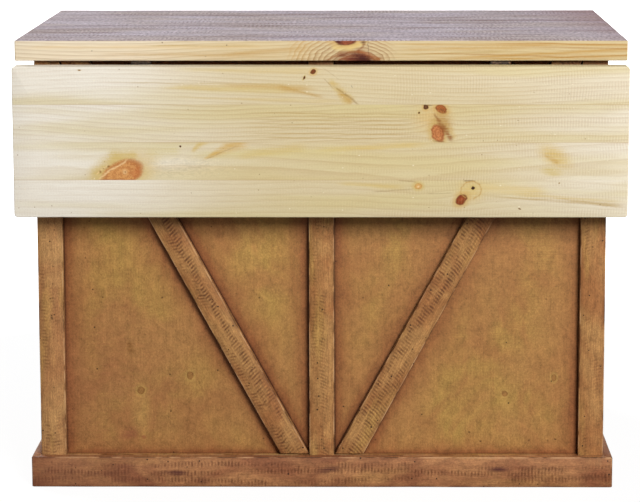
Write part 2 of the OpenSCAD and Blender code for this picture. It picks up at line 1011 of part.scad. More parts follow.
worktop();
drop_leaf();
back_left_stile();
back_right_stile();
back_centre_stile();
back_bottom_rails();
back_left_brace();
back_right_brace();
back_panel();
left_side_panel();
right_side_panel();
side_stiles();
side_rails();
plinth_back_board();
plinth_front_board();
plinth_side_boards();
plinth_blocks();
floor_board();
centre_divider();
face_stiles();
face_rails();
left_shelf();
right_shelf();
shelf_pins();
worktop_cleats();
base_screws();
drawer_runners();
drawer_guides();
drawer_kickers();
drawer_stops();
leaf_hinge_top_plates();
leaf_hinge_leaf_plates();
hinge_pins();
leaf_screws();
stay_body_brackets();
stay_leaf_brackets();
left_lower_link();
right_lower_link();
left_upper_link();
right_upper_link();
door_hinge_frame_plates();
door_catches();
left_door_frame();
right_door_frame();
left_door_panel();
right_door_panel();
left_door_brace();
right_door_brace();
left_door_hinge_plates();
right_door_hinge_plates();
left_door_knob();
right_door_knob();
left_door_strike();
right_door_strike();
left_drawer_front();
right_drawer_front();
left_drawer_box();
right_drawer_box();
left_drawer_knob();
right_drawer_knob();
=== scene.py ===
# %% [markdown]
# # A pine kitchen island with a drop leaf
#
# This notebook dresses a finished CAD model of a kitchen island. The CAD model already has
# every board, hinge and drawer at its real size, so nothing is measured again here. What is
# made here is what the eye judges: boards with worn edges, grain that runs the way each
# board was sawn, knots, saw marks, a brown stain and dark bronze hardware.
#
# The first cell loads the CAD model. The dressed island has to fit the same box at the end.

# %% Load the frame
import json
import math
from collections import namedtuple

import bpy
import numpy as np
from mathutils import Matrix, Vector

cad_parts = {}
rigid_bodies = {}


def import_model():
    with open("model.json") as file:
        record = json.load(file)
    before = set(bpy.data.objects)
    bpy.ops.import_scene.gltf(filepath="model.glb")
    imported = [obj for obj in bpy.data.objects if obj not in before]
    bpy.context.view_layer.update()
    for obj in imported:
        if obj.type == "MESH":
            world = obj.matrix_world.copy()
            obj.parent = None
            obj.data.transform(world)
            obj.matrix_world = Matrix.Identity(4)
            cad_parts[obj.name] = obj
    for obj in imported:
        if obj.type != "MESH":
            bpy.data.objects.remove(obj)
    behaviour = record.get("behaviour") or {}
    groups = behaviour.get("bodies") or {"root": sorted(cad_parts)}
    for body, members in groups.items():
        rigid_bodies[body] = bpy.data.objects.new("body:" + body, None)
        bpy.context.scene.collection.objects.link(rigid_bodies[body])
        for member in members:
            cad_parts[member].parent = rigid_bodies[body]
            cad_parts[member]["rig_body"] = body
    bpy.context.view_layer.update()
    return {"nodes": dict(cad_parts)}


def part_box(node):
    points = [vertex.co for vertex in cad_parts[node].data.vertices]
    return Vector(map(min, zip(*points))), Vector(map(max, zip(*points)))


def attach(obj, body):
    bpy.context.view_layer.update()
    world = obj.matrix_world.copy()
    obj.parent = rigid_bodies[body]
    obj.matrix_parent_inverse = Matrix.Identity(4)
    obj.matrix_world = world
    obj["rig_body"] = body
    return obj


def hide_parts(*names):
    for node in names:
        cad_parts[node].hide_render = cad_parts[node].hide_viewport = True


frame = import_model()
bpy.ops.object.select_all(action="DESELECT")

# %% [markdown]
# ## The camera
#
# A photograph of a long, straight-edged object gives its camera away: the corners of the
# worktop, the leaf and the plinth were measured in the picture, and a camera was solved
# that puts the corners of the model there. It stands 5.3 m off with a long lens and looks
# down by 8.6 degrees. A small shift stands for the picture's crop.

# %% Set up the camera
PICTURE_W, PICTURE_H = 640, 502
FOCAL_PX = 2482.4
CENTRE_PX = (345.2, 188.0)
CAMERA_PLACE = (0.0942, -5.2714, 1.3602)
CAMERA_TURN = (81.408, 0.067, 0.524)

camera_data = bpy.data.cameras.new("camera")
camera_data.sensor_width = 36.0
camera_data.lens = FOCAL_PX * camera_data.sensor_width / PICTURE_W
camera_data.shift_x = (PICTURE_W / 2 - CENTRE_PX[0]) / PICTURE_W
camera_data.shift_y = (CENTRE_PX[1] - PICTURE_H / 2) / PICTURE_W
camera_data.clip_end = 100.0
camera = bpy.data.objects.new("camera", camera_data)
camera.location = CAMERA_PLACE
camera.rotation_euler = [math.radians(turn) for turn in CAMERA_TURN]
bpy.context.scene.collection.objects.link(camera)
bpy.context.scene.camera = camera
print("lens", round(camera_data.lens, 1), "shift", camera_data.shift_x, camera_data.shift_y)

# %% [markdown]
# ## Writing materials as formulas
#
# Wood is mostly arithmetic: rings are a distance divided by a pitch, saw marks are a sine
# along the board, wear is how near a point is to an edge. A node tree of a hundred Math
# nodes is hard to read, so a small class writes them instead. A Field stands for a number
# or a colour that varies over a surface, and +, -, * and / on Fields add the Math nodes.
# Other kinds of node have a function each, and a Recipe is one material.

# %% Fields and recipes
WHITE = (1.0, 1.0, 1.0, 1.0)
WOOD_SHINE = 0.18
METAL_SHINE = 0.5
PINE_RELIEF = 0.0004
STAIN_RELIEF = 0.0005
PANEL_RELIEF = 0.0003
BRONZE_RELIEF = 0.0001
STEEL_RELIEF = 0.00008


class Field:
    """A number or a colour that varies over a surface: an output socket with arithmetic."""

    def __init__(self, socket):
        self.socket = socket
        self.tree = socket.id_data

    def math(self, operation, *others):
        node = self.tree.nodes.new("ShaderNodeMath")
        node.operation = operation
        for slot, value in zip(node.inputs, (self, *others)):
            plug(value, slot)
        return Field(node.outputs[0])

    def __add__(self, other):
        return self.math("ADD", other)

    def __sub__(self, other):
        return self.math("SUBTRACT", other)

    def __mul__(self, other):
        return self.math("MULTIPLY", other)

    def __truediv__(self, other):
        return self.math("DIVIDE", other)

    def __pow__(self, other):
        return self.math("POWER", other)

    def rise(self, low, high):
        """0 below low and 1 above high, with a smooth step between; it falls if low is greater."""
        ends = {"From Min": min(low, high), "From Max": max(low, high),
                "To Min": float(low > high), "To Max": float(low <= high)}
        return add(self, "ShaderNodeMapRange", "Result", {"interpolation_type": "SMOOTHSTEP"},
                   Value=self, **ends)

    def parts(self):
        """The X, Y and Z of a vector as three Fields."""
        split = self.tree.nodes.new("ShaderNodeSeparateXYZ")
        plug(self, split.inputs[0])
        return [Field(socket) for socket in split.outputs]


def plug(value, slot):
    """Links a Field to an input socket, or writes a plain number or colour there."""
    if isinstance(value, Field):
        slot.id_data.links.new(value.socket, slot)
    else:
        slot.default_value = value


def add(near, kind, output, settings=None, **inputs):
    """Adds a node to the tree that a Field is in, and gives one of the node's outputs."""
    node = near.tree.nodes.new(kind)
    for name, value in (settings or {}).items():
        setattr(node, name, value)
    for name, value in inputs.items():
        plug(value, node.inputs[name])
    return Field(node.outputs[output])


def srgb(red, green, blue):
    """A colour as an eye-dropper gives it, from 0 to 255, as linear light."""
    steps = [c / 255 for c in (red, green, blue)]
    return (*[s / 12.92 if s <= 0.04045 else ((s + 0.055) / 1.055) ** 2.4 for s in steps], 1.0)


def point(x, y, z=0.0):
    return add(x, "ShaderNodeCombineXYZ", "Vector", X=x, Y=y, Z=z)


def noise(x, y, z=0.0, scale=1.0, detail=2.0, roughness=0.5, swirl=0.0):
    return add(x, "ShaderNodeTexNoise", "Fac", Vector=point(x, y, z), Scale=scale, Detail=detail,
               Roughness=roughness, Distortion=swirl)


def speckle(place, spacing, size, share):
    """Small spots of a size: one in each of a share of the cells, which are spacing wide."""
    cells = place.tree.nodes.new("ShaderNodeTexVoronoi")
    cells.voronoi_dimensions = "2D"
    plug(place, cells.inputs["Vector"])
    plug(1 / spacing, cells.inputs["Scale"])
    chance, growth, _ = Field(cells.outputs["Color"]).parts()
    near = (growth * 0.7 + 0.5) * (size / spacing)
    return (Field(cells.outputs["Distance"]) / near).rise(1.2, 0.7) * chance.rise(share + 0.01, share)


def mix(share, first, second):
    """The first colour where the share is 0, and the second where it is 1."""
    node = share.tree.nodes.new("ShaderNodeMix")
    node.data_type = "RGBA"
    for slot, value in ((0, share), (6, first), (7, second)):
        plug(value, node.inputs[slot])
    return Field(node.outputs[2])


def tone(colour, light):
    """A colour made lighter where light is above 1, and darker where it is below."""
    return add(light, "ShaderNodeVectorMath", "Vector", {"operation": "SCALE"}, Vector=colour, Scale=light)


def radius(u, v):
    return (u * u + v * v) ** 0.5


class Recipe:
    """One material."""

    def __init__(self, name):
        self.material = bpy.data.materials.new(name)
        self.material.use_nodes = True
        self.nodes = self.material.node_tree.nodes
        self.shader = self.nodes["Principled BSDF"]
        self.place = Field(self.nodes.new("ShaderNodeTexCoord").outputs["Object"]).parts()

    def surface(self):
        """A point of two coordinates that spread over faces of any direction, for specks."""
        x, y, z = self.place
        return point(x + y * 0.61, z + y * 0.79)

    def attribute(self, name, output="Vector"):
        return add(self.place[0], "ShaderNodeAttribute", output, {"attribute_name": name})

    def finish(self, colour, roughness, height, depth, shine=WOOD_SHINE):
        """Joins the fields to the shader. The height is from 0 to 1, and depth is in metres."""
        relief = add(height, "ShaderNodeBump", "Normal", Height=height, Distance=depth)
        inputs = {"Base Color": colour, "Specular IOR Level": shine, "Roughness": roughness, "Normal": relief}
        for name, value in inputs.items():
            plug(value, self.shader.inputs[name])
        print("material", self.material.name, "with", len(self.nodes), "nodes")
        return self.material


# %% [markdown]
# ## Light, floor and background
#
# The shadows in the photograph fall to the left of the braces and well down from the leaf,
# so its main light was large, to the right and not high. One big soft lamp does that, a
# weaker one behind the island lights the doors, and a faint white world fills the rest. All
# together they light a face at about strength 1, so a colour in a material comes out about
# as it is written.
#
# The white background is no extra light: the floor and the world show white to the camera
# and to reflections only. Near the island the floor keeps about half of its own shading, so
# that it still shows the island's shadow. Its own grey is dark, because in the photograph
# hardly any light comes up from below.

# %% Light, floor and world
LAMP_AIM = Vector((0.0, -0.35, 0.45))
LAMP_WIDTH = 3.5
LAMPS = (("key", Vector((3.4, -7.4, 4.45)), 1.17), ("fill", Vector((-5.4, 5.6, 4.2)), 0.7))
WORLD_LEVEL = 0.08
FLOOR_SIZE = 80
FLOOR_GREY = (0.18, 0.18, 0.18, 1.0)
FLOOR_GLOW = 2.05
FLOOR_WHITE = 0.45
FLOOR_NEAR = (1.4, 2.8)


def soft_lamp(name, place, level):
    """A big square lamp. Level is how brightly it lights a face that is turned to it."""
    data = bpy.data.lights.new(name, "AREA")
    data.shape = "SQUARE"
    data.size = LAMP_WIDTH
    data.energy = level * math.pi ** 2 * (place - LAMP_AIM).length_squared
    lamp = bpy.data.objects.new(name, data)
    lamp.location = place
    lamp.rotation_euler = (place - LAMP_AIM).to_track_quat("Z", "Y").to_euler()
    bpy.context.scene.collection.objects.link(lamp)
    print(name, round(data.energy), "W")


def seen_directly(tree):
    """1 for camera, mirror and glass rays, which see the white background, and 0 for others."""
    path = tree.nodes.new("ShaderNodeLightPath").outputs
    total = Field(path["Is Camera Ray"])
    for name in ("Is Glossy Ray", "Is Transmission Ray"):
        total = total.math("MAXIMUM", Field(path[name]))
    return total


def whiten(tree, share, usual, kind, level, output):
    """Mixes white light into what a tree's usual shader shows, by a share from 0 to 1."""
    white = tree.nodes.new(kind)
    plug(WHITE, white.inputs["Color"])
    plug(level, white.inputs["Strength"])
    either = tree.nodes.new("ShaderNodeMixShader")
    for field, slot in zip((share, Field(usual.outputs[0]), Field(white.outputs[0])), either.inputs):
        plug(field, slot)
    plug(Field(either.outputs[0]), tree.nodes[output].inputs["Surface"])


for name, place, level in LAMPS:
    soft_lamp(name, place, level)

world = bpy.data.worlds.new("studio")
bpy.context.scene.world = world
world.use_nodes = True
sky = world.node_tree
plug(WORLD_LEVEL, sky.nodes["Background"].inputs["Strength"])
plug(WHITE, sky.nodes["Background"].inputs["Color"])
whiten(sky, seen_directly(sky), sky.nodes["Background"], "ShaderNodeBackground", 1.0, "World Output")

bpy.ops.mesh.primitive_plane_add(size=FLOOR_SIZE)
floor = bpy.context.object
floor.name = "floor"
floor_paint = Recipe("floor")
for name, value in (("Base Color", FLOOR_GREY), ("Roughness", 0.9), ("Specular IOR Level", 0.1)):
    plug(value, floor_paint.shader.inputs[name])
far = radius(*floor_paint.place[:2])
limits = dict(zip(("From Min", "From Max", "To Min"), (*FLOOR_NEAR, FLOOR_WHITE)))
white_share = add(far, "ShaderNodeMapRange", "Result", Value=far, **limits)
ground = floor_paint.material.node_tree
white_share = white_share * seen_directly(ground)
whiten(ground, white_share, floor_paint.shader, "ShaderNodeEmission", FLOOR_GLOW, "Material Output")
floor.data.materials.append(floor_paint.material)
bpy.context.scene.view_settings.view_transform = "Standard"
print("world", WORLD_LEVEL)

# %% [markdown]
# ## Boards
#
# Everything wooden here is made of straight boards, so one way of making a board serves
# the whole island. It is modelled as a joiner would make it: a blank at its size, its
# arrises eased with a bevel, and then years of knocks, which a faint displacement gives.
# For the knocks to bend an edge, the edge needs points along it, so the blank is cut
# across with bisect every few centimetres.
#
# The CAD model already says where each board is. A node such as the side rails holds
# several solids, and `solids` gives the box of each.


# %% Find the boards and shape them
EASE = 0.0013
KNOCK = 0.0008
KNOCK_SIZE = 0.045
CUT_EVERY = 0.045
SMOOTH_UNDER = math.radians(35)
AXES = {"X": Vector((1, 0, 0)), "Y": Vector((0, 1, 0)), "Z": Vector((0, 0, 1))}

knocks = bpy.data.textures.new("knocks", "CLOUDS")
knocks.noise_scale = KNOCK_SIZE


def pick(*objects):
    """Selects these objects and nothing else, and makes the last one active."""
    bpy.ops.object.select_all(action="DESELECT")
    for thing in objects:
        thing.select_set(True)
    bpy.context.view_layer.objects.active = objects[-1]


def solids(node):
    """The boxes of a CAD node's separate solids, as (low corner, high corner), in order."""
    mesh = frame["nodes"][node].data
    places = np.array([v.co for v in mesh.vertices]).round(5)
    places, same = np.unique(places, axis=0, return_inverse=True)
    triangles = same.reshape(-1)[np.array([p.vertices[:] for p in mesh.polygons])]
    group = np.arange(len(places))
    while True:
        lowest = group.copy()
        np.minimum.at(lowest, triangles, group[triangles].min(1, keepdims=True))
        if (lowest == group).all():
            break
        group = lowest
    boxes = [places[group == g] for g in np.unique(group)]
    boxes = sorted((tuple(b.min(0)), tuple(b.max(0))) for b in boxes)
    return [(Vector(low), Vector(high)) for low, high in boxes]


def blank(name, low, high, turn=0.0):
    """A block at its size and place, turned about Y, left in edit mode and all selected."""
    bpy.ops.object.select_all(action="DESELECT")
    bpy.ops.mesh.primitive_cube_add(size=1, location=(low + high) / 2)
    made = bpy.context.object
    made.name = name
    made.scale = high - low
    made.rotation_euler = (0, turn, 0)
    bpy.ops.object.transform_apply(location=True, rotation=True, scale=True)
    bpy.ops.object.mode_set(mode="EDIT")
    bpy.ops.mesh.select_all(action="SELECT")
    return made


def bisect(place, normal, saw_off=False):
    """Cuts the mesh in edit mode at a plane; saw_off also removes what lies past it."""
    bpy.ops.mesh.select_all(action="SELECT")
    bpy.ops.mesh.bisect(plane_co=place, plane_no=normal, use_fill=saw_off, clear_outer=saw_off)


def ease_edges(offset, segments=2):
    bpy.ops.mesh.bevel(offset=offset, segments=segments, affect="EDGES")


def cut_across(made, direction):
    """Cuts the mesh in edit mode across, every few centimetres along a direction."""
    bpy.ops.object.mode_set(mode="OBJECT")
    places = [v.co.dot(direction) for v in made.data.vertices]
    bpy.ops.object.mode_set(mode="EDIT")
    start, end = min(places), max(places)
    cuts = max(1, round((end - start) / CUT_EVERY))
    for i in range(1, cuts):
        bisect(direction * (start + (end - start) * i / cuts), direction)


def knock_about(made, strength=KNOCK):
    """Leaves edit mode, dents the surface a little and smooths what isn't an edge."""
    bpy.ops.object.mode_set(mode="OBJECT")
    if strength:
        dent = made.modifiers.new("knocks", "DISPLACE")
        dent.texture = knocks
        dent.texture_coords = "LOCAL"
        dent.strength = strength
        dent.mid_level = 0.5
        bpy.ops.object.modifier_apply(modifier="knocks")
    bpy.ops.object.shade_smooth_by_angle(angle=SMOOTH_UNDER)


# %% [markdown]
# ## Grain that follows each board
#
# A pattern in the object's own coordinates would run through neighbouring boards as if
# they were one log. Instead every face corner stores where it lies in its own board:
# along, across and through it. Three more values go with it: half the board's size, so
# that a material can find the arrises, where the heart of the tree was, and a seed.


# %% Lay the grain
RING_PITCH = 0.0075
dice = np.random.default_rng(11)


def write(mesh, name, kind, values, corners):
    """Writes an attribute on some face corners of a mesh, and keeps it on the others."""
    attribute = mesh.attributes.get(name) or mesh.attributes.new(name, kind, "CORNER")
    field = "vector" if kind == "FLOAT_VECTOR" else "value"
    width = 3 if kind == "FLOAT_VECTOR" else 1
    data = np.zeros(len(mesh.loops) * width, np.float32)
    attribute.data.foreach_get(field, data)
    data.reshape(-1, width)[corners] = np.reshape(values, (-1, width))
    attribute.data.foreach_set(field, data)


def lay_grain(made, centre, axes, half, heart=None, belongs=None):
    """Stores the board's own coordinates on its face corners. The axes run along, across and
    through the board. heart is how far the tree's heart lies across and through it, and the
    width of a year's ring. belongs tells by a face's middle whether it is on this board."""
    mesh = made.data
    if heart is None:
        heart = (dice.uniform(-0.05, 0.05), dice.uniform(0.03, 0.09), RING_PITCH * dice.uniform(0.7, 1.2))
    seed = dice.uniform(1, 9)
    faces = [p for p in mesh.polygons if belongs is None or belongs(p.center)]
    corners = np.array([i for p in faces for i in p.loop_indices])
    points = np.array([mesh.vertices[mesh.loops[int(i)].vertex_index].co for i in corners])
    local = (points - np.array(centre)) @ np.array([a[:] for a in axes]).T
    write(mesh, "board_place", "FLOAT_VECTOR", local, corners)
    write(mesh, "board_half", "FLOAT_VECTOR", np.tile(half, (len(corners), 1)), corners)
    write(mesh, "board_heart", "FLOAT_VECTOR", np.tile(heart, (len(corners), 1)), corners)
    write(mesh, "board_seed", "FLOAT", np.full(len(corners), seed), corners)


def box_axes(low, high, along=None):
    """The directions along, across and through a box, and half its size in each."""
    size = high - low
    order = sorted("XYZ", key=lambda name: -size["XYZ".index(name)])
    if along:
        order.remove(along)
        order.insert(0, along)
    return [AXES[name] for name in order], [size["XYZ".index(name)] / 2 for name in order]


def work(made, centre, axes, half, ease=EASE, knock=KNOCK):
    """Eases the arrises of a board that is in edit mode, knocks it about and lays its grain."""
    bpy.ops.mesh.select_all(action="SELECT")
    ease_edges(ease)
    if knock:
        cut_across(made, axes[0])
    knock_about(made, knock)
    lay_grain(made, centre, axes, half)
    return made


def make_board(name, low, high, along=None, **how):
    """One straight board with its grain laid along its longest side, or along another."""
    return work(blank(name, low, high), (low + high) / 2, *box_axes(low, high, along), **how)


def joined(boards):
    """Joins finished boards into one piece, which keeps the first one's name."""
    pick(*reversed(boards))
    if len(boards) > 1:
        bpy.ops.object.join()
    return boards[0]


def dress(made, node, material):
    """Gives a finished piece its material and its body, and hides the node it stands for."""
    made.data.materials.clear()
    made.data.materials.append(material)
    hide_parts(node)
    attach(made, frame["nodes"][node]["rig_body"])
    print(made.name, len(made.data.polygons), "faces")
    return made


def rebuild(node, material, slot, **how):
    """Makes a node's boards anew from the boxes of its solids, as one piece."""
    boards = [make_board(node + "_wood", low, high, **how) for low, high in solids(node)]
    return dress(joined(boards), node, material)


# %% [markdown]
# ## Pine grain
#
# A pine board shows its tree's yearly rings, cut lengthwise. The rings are circles round
# the heart, and the heart wanders a little along the board, which is what opens the rings
# into the flame shapes of a flat-sawn board. So the distance from the heart, divided by
# the width of a ring, gives the whole figure, on the faces and on the ends alike. Each
# ring starts pale and ends in a thin darker line of late wood.
#
# Grain flows round a knot. That is done by squeezing the across coordinate near each knot
# before the rings are worked out.

# %% Rings, knots, edges and saw marks
Lie = namedtuple("Lie", "along across through off deep pitch seed")
Knot = namedtuple("Knot", "at_x at_z wide high tilt Body Heart Halo")
Patch = namedtuple("Patch", "at_x at_z wide high tilt colour force")
Stroke = namedtuple("Stroke", "at_x at_z to_x to_z start end colour force")
LENGTHS = ("at_x", "at_z", "to_x", "to_z", "start", "end", "wide", "high")
MM = 0.001
KNOT_REACH = 3.2
FLOW = 0.004


def tool(name, inputs, formula):
    """A node group that works out one result from named inputs. Those named with a capital
    are colours, and so is the result where there are any."""
    tree = bpy.data.node_groups.new(name, "ShaderNodeTree")
    labels = inputs.split()
    for label in labels:
        kind = "NodeSocketColor" if label[0].isupper() else "NodeSocketFloat"
        tree.interface.new_socket(name=label, in_out="INPUT", socket_type=kind)
    kind = "NodeSocketFloat" if inputs.islower() else "NodeSocketColor"
    tree.interface.new_socket(name="Result", in_out="OUTPUT", socket_type=kind)
    start = tree.nodes.new("NodeGroupInput")
    end = tree.nodes.new("NodeGroupOutput")
    plug(formula(*[Field(socket) for socket in start.outputs[:len(labels)]]), end.inputs[0])
    return tree


def in_radii(x, z, at_x, at_z, wide, high, tilt):
    """Coordinates about a spot's middle, along its own axes and in its own radii."""
    turn = tilt * (math.pi / 180)
    dx, dz = x - at_x, z - at_z
    u = (dx * turn.math("COSINE") + dz * turn.math("SINE")) / wide
    v = (dz * turn.math("COSINE") - dx * turn.math("SINE")) / high
    return u, v


def stroke_formula(x, z, ragged, streak, at_x, at_z, to_x, to_z, start, end, force):
    dx, dz = to_x - at_x, to_z - at_z
    share = ((x - at_x) * dx + (z - at_z) * dz) / (dx * dx + dz * dz)
    ends = share.rise(-0.05, 0.2) * share.rise(1.05, 0.8)
    share = share.math("MAXIMUM", 0.0).math("MINIMUM", 1.0)
    away = radius(x - share * dx - at_x, z - share * dz - at_z)
    near = (away / (share * (end - start) + start) + ragged * 0.9).rise(1.8, 0.0) * ends
    return near * (streak.rise(0.25, 0.7) * 0.6 + 0.4) * force


def patch_formula(x, z, ragged, streak, at_x, at_z, wide, high, tilt, force):
    u, v = in_radii(x, z, at_x, at_z, wide, high, tilt)
    return (radius(u, v) + ragged * 0.6).rise(1.5, 0.1) * (streak.rise(0.3, 0.65) * 0.5 + 0.5) * force


def knot_formula(x, z, ragged, colour, body, heart, halo, at_x, at_z, wide, high, tilt):
    u, v = in_radii(x, z, at_x, at_z, wide, high, tilt)
    far = radius(u, v) + ragged * 0.4
    grown = (far * 17.0 + ragged * 7.0).math("SINE") * 0.5 + 0.5
    inside = mix(grown * 0.6 + u.rise(0.1, 1.0) * 0.35, body, heart)
    colour = mix(far.rise(2.3, 0.9) * 0.75, colour, halo)
    colour = mix(far.rise(1.2, 0.8), colour, inside)
    patchy = (ragged * 2.0 + 0.6).rise(0.3, 0.8)
    return mix(far.rise(0.7, 0.95) * far.rise(1.2, 1.0) * patchy * 0.75, colour, heart)


def bend_formula(total, x, z, at_x, at_z, wide, high):
    """Adds how far the grain at a point is drawn in towards a knot's middle."""
    dz = z - at_z
    flat = (x - at_x) / (wide * KNOT_REACH)
    tall = dz / (high * KNOT_REACH * 0.6)
    return total - dz * ((flat * flat + tall * tall) * -1.0).math("EXPONENT") * 0.7


SPOT_INPUTS = "x z ragged streak at_x at_z "
TOOLS = {
    Stroke: tool("stroke", SPOT_INPUTS + "to_x to_z start end force", stroke_formula),
    Patch: tool("patch", SPOT_INPUTS + "wide high tilt force", patch_formula),
}
KNOT_TOOL = tool("knot", "x z ragged Colour Body Heart Halo at_x at_z wide high tilt", knot_formula)
BEND_TOOL = tool("bend", "total x z at_x at_z wide high", bend_formula)


def use(tree, **values):
    return add(values["x"], "ShaderNodeGroup", "Result", {"node_tree": tree}, **values)


def in_metres(spot):
    """A spot's values by name, with its lengths turned from millimetres into metres."""
    return {name: value * MM if name in LENGTHS else value for name, value in spot._asdict().items()}


def bend_round(x, z, spots):
    """How far all the knots together draw in the grain at a point."""
    total = x * 0.0
    for spot in spots:
        if isinstance(spot, Knot):
            near = {name: value for name, value in in_metres(spot).items() if name in LENGTHS}
            total = use(BEND_TOOL, total=total, x=x, z=z, **near)
    return total


def paint(colour, x, z, spots, flow=FLOW):
    """Lays patches, strokes and knots over a colour, in the order of the list. Their outlines
    are drawn out along the grain by a slow noise of this many metres, so none is exact."""
    warp = noise(x * 30.0, z * 90.0, detail=3.0) - 0.5
    lift = noise(x * 22.0, z * 60.0, 5.0, detail=3.0) - 0.5
    ragged = noise(x, z, scale=260.0, detail=3.0) - 0.5
    streak = noise(x * 12.0, z * 420.0)
    x, z = x + warp * flow * 2.0, z + lift * flow * 0.8
    for spot in spots:
        values = {"x": x, "z": z, "ragged": ragged, **in_metres(spot)}
        if isinstance(spot, Knot):
            colour = use(KNOT_TOOL, Colour=colour, **values)
            continue
        over = values.pop("colour")
        near = use(TOOLS[type(spot)], streak=streak, **values)
        colour = mix(near, colour, over)
    return colour


def board_lie(recipe):
    """How a point lies in its board, from what lay_grain stored."""
    place, heart = (recipe.attribute(name).parts() for name in ("board_place", "board_heart"))
    return Lie(*place, *heart, recipe.attribute("board_seed", "Fac"))


def rings(lie, bend=0.0):
    """The yearly rings and the fibres at a point: (late wood 0..1, fibres 0..1)."""
    slow = noise(lie.along * 1.1 + lie.seed * 5.0, lie.seed * 3.0, detail=1.0)
    wave = noise(lie.along * 6.0, lie.across * 14.0, lie.seed * 7.0, detail=3.0)
    side = lie.across + lie.off + (slow - 0.5) * 0.11 + bend
    down = lie.through + lie.deep
    year = (radius(side, down) / lie.pitch + (wave - 0.5) * 0.9).math("FRACT")
    late = year ** 3.0 * year.rise(1.0, 0.93)
    fine = noise(lie.along * 22.0 + lie.seed * 9.0, lie.across * 900.0, lie.through * 900.0)
    return late, fine


def inset(recipe):
    """How deep in its board a point lies from the ends, the sides and the faces, in metres."""
    place, half = (recipe.attribute(name).parts() for name in ("board_place", "board_half"))
    return [h - p.math("ABSOLUTE") for p, h in zip(place, half)]


def arris(recipe):
    """Distance in metres, on a board's faces, from the nearest edge."""
    a, b, c = inset(recipe)
    return a.math("MINIMUM", b).math("MAXIMUM", a.math("MAXIMUM", b).math("MINIMUM", c))


def saw_marks(lie, pitch, bow):
    """Ripples that a circular saw leaves across a board: 0..1, bowed by the saw's radius."""
    bowed = lie.along + lie.across * lie.across / (2 * bow) + lie.seed
    shake = noise(lie.along * 30.0, lie.across * 25.0, lie.seed, detail=1.0)
    return ((bowed / pitch + shake * 0.7) * (2 * math.pi)).math("SINE") * 0.5 + 0.5


# %% [markdown]
# ## The pale pine of the leaf
#
# The leaf is what the photograph shows best, so its marks are where the photograph has
# them. A knot is an ellipse with its place on the leaf, its tilt and its colours, a patch is
# a soft ellipse of one colour, and a stroke is a line of resin or of darker grain, all in
# millimetres. Each belongs to one board and stops at the glue line, as the large knot at
# the left does, so each board of the leaf has a material of its own.

# %% Pine for the leaf
CREAM = srgb(210, 194, 156)
BLEACHED = srgb(234, 227, 213)
LATE = srgb(174, 138, 88)
RESIN = srgb(186, 146, 80)
AMBER = srgb(202, 174, 102)
STRAW = srgb(208, 192, 136)
OLIVE = srgb(178, 148, 90)
TAN = srgb(200, 168, 102)
RED_BROWN = srgb(146, 70, 36)
DARK_KNOT = srgb(78, 38, 6)
ORANGE_KNOT = srgb(202, 162, 92)
PALE_LINE = srgb(234, 200, 146)
BROWN_LINE = srgb(140, 102, 56)

RINGS_SHOW = (0.9, 1.1, 0.8, 0.55)
CURLY_BOARD = 2
LEAF_SAW = (0.0057, 0.30)
LEAF_FLOW = 0.005
DIMPLES = (0.034, 0.0011, 0.22)
CHIPS = (0.021, 0.0010, 0.13)
CHIP_PALE = srgb(242, 234, 208)

leaf_low, leaf_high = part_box("drop_leaf")
leaf_boxes = sorted(solids("drop_leaf"), key=lambda box: -box[0].z)
STAVE = (leaf_high.z - leaf_low.z) / len(leaf_boxes)

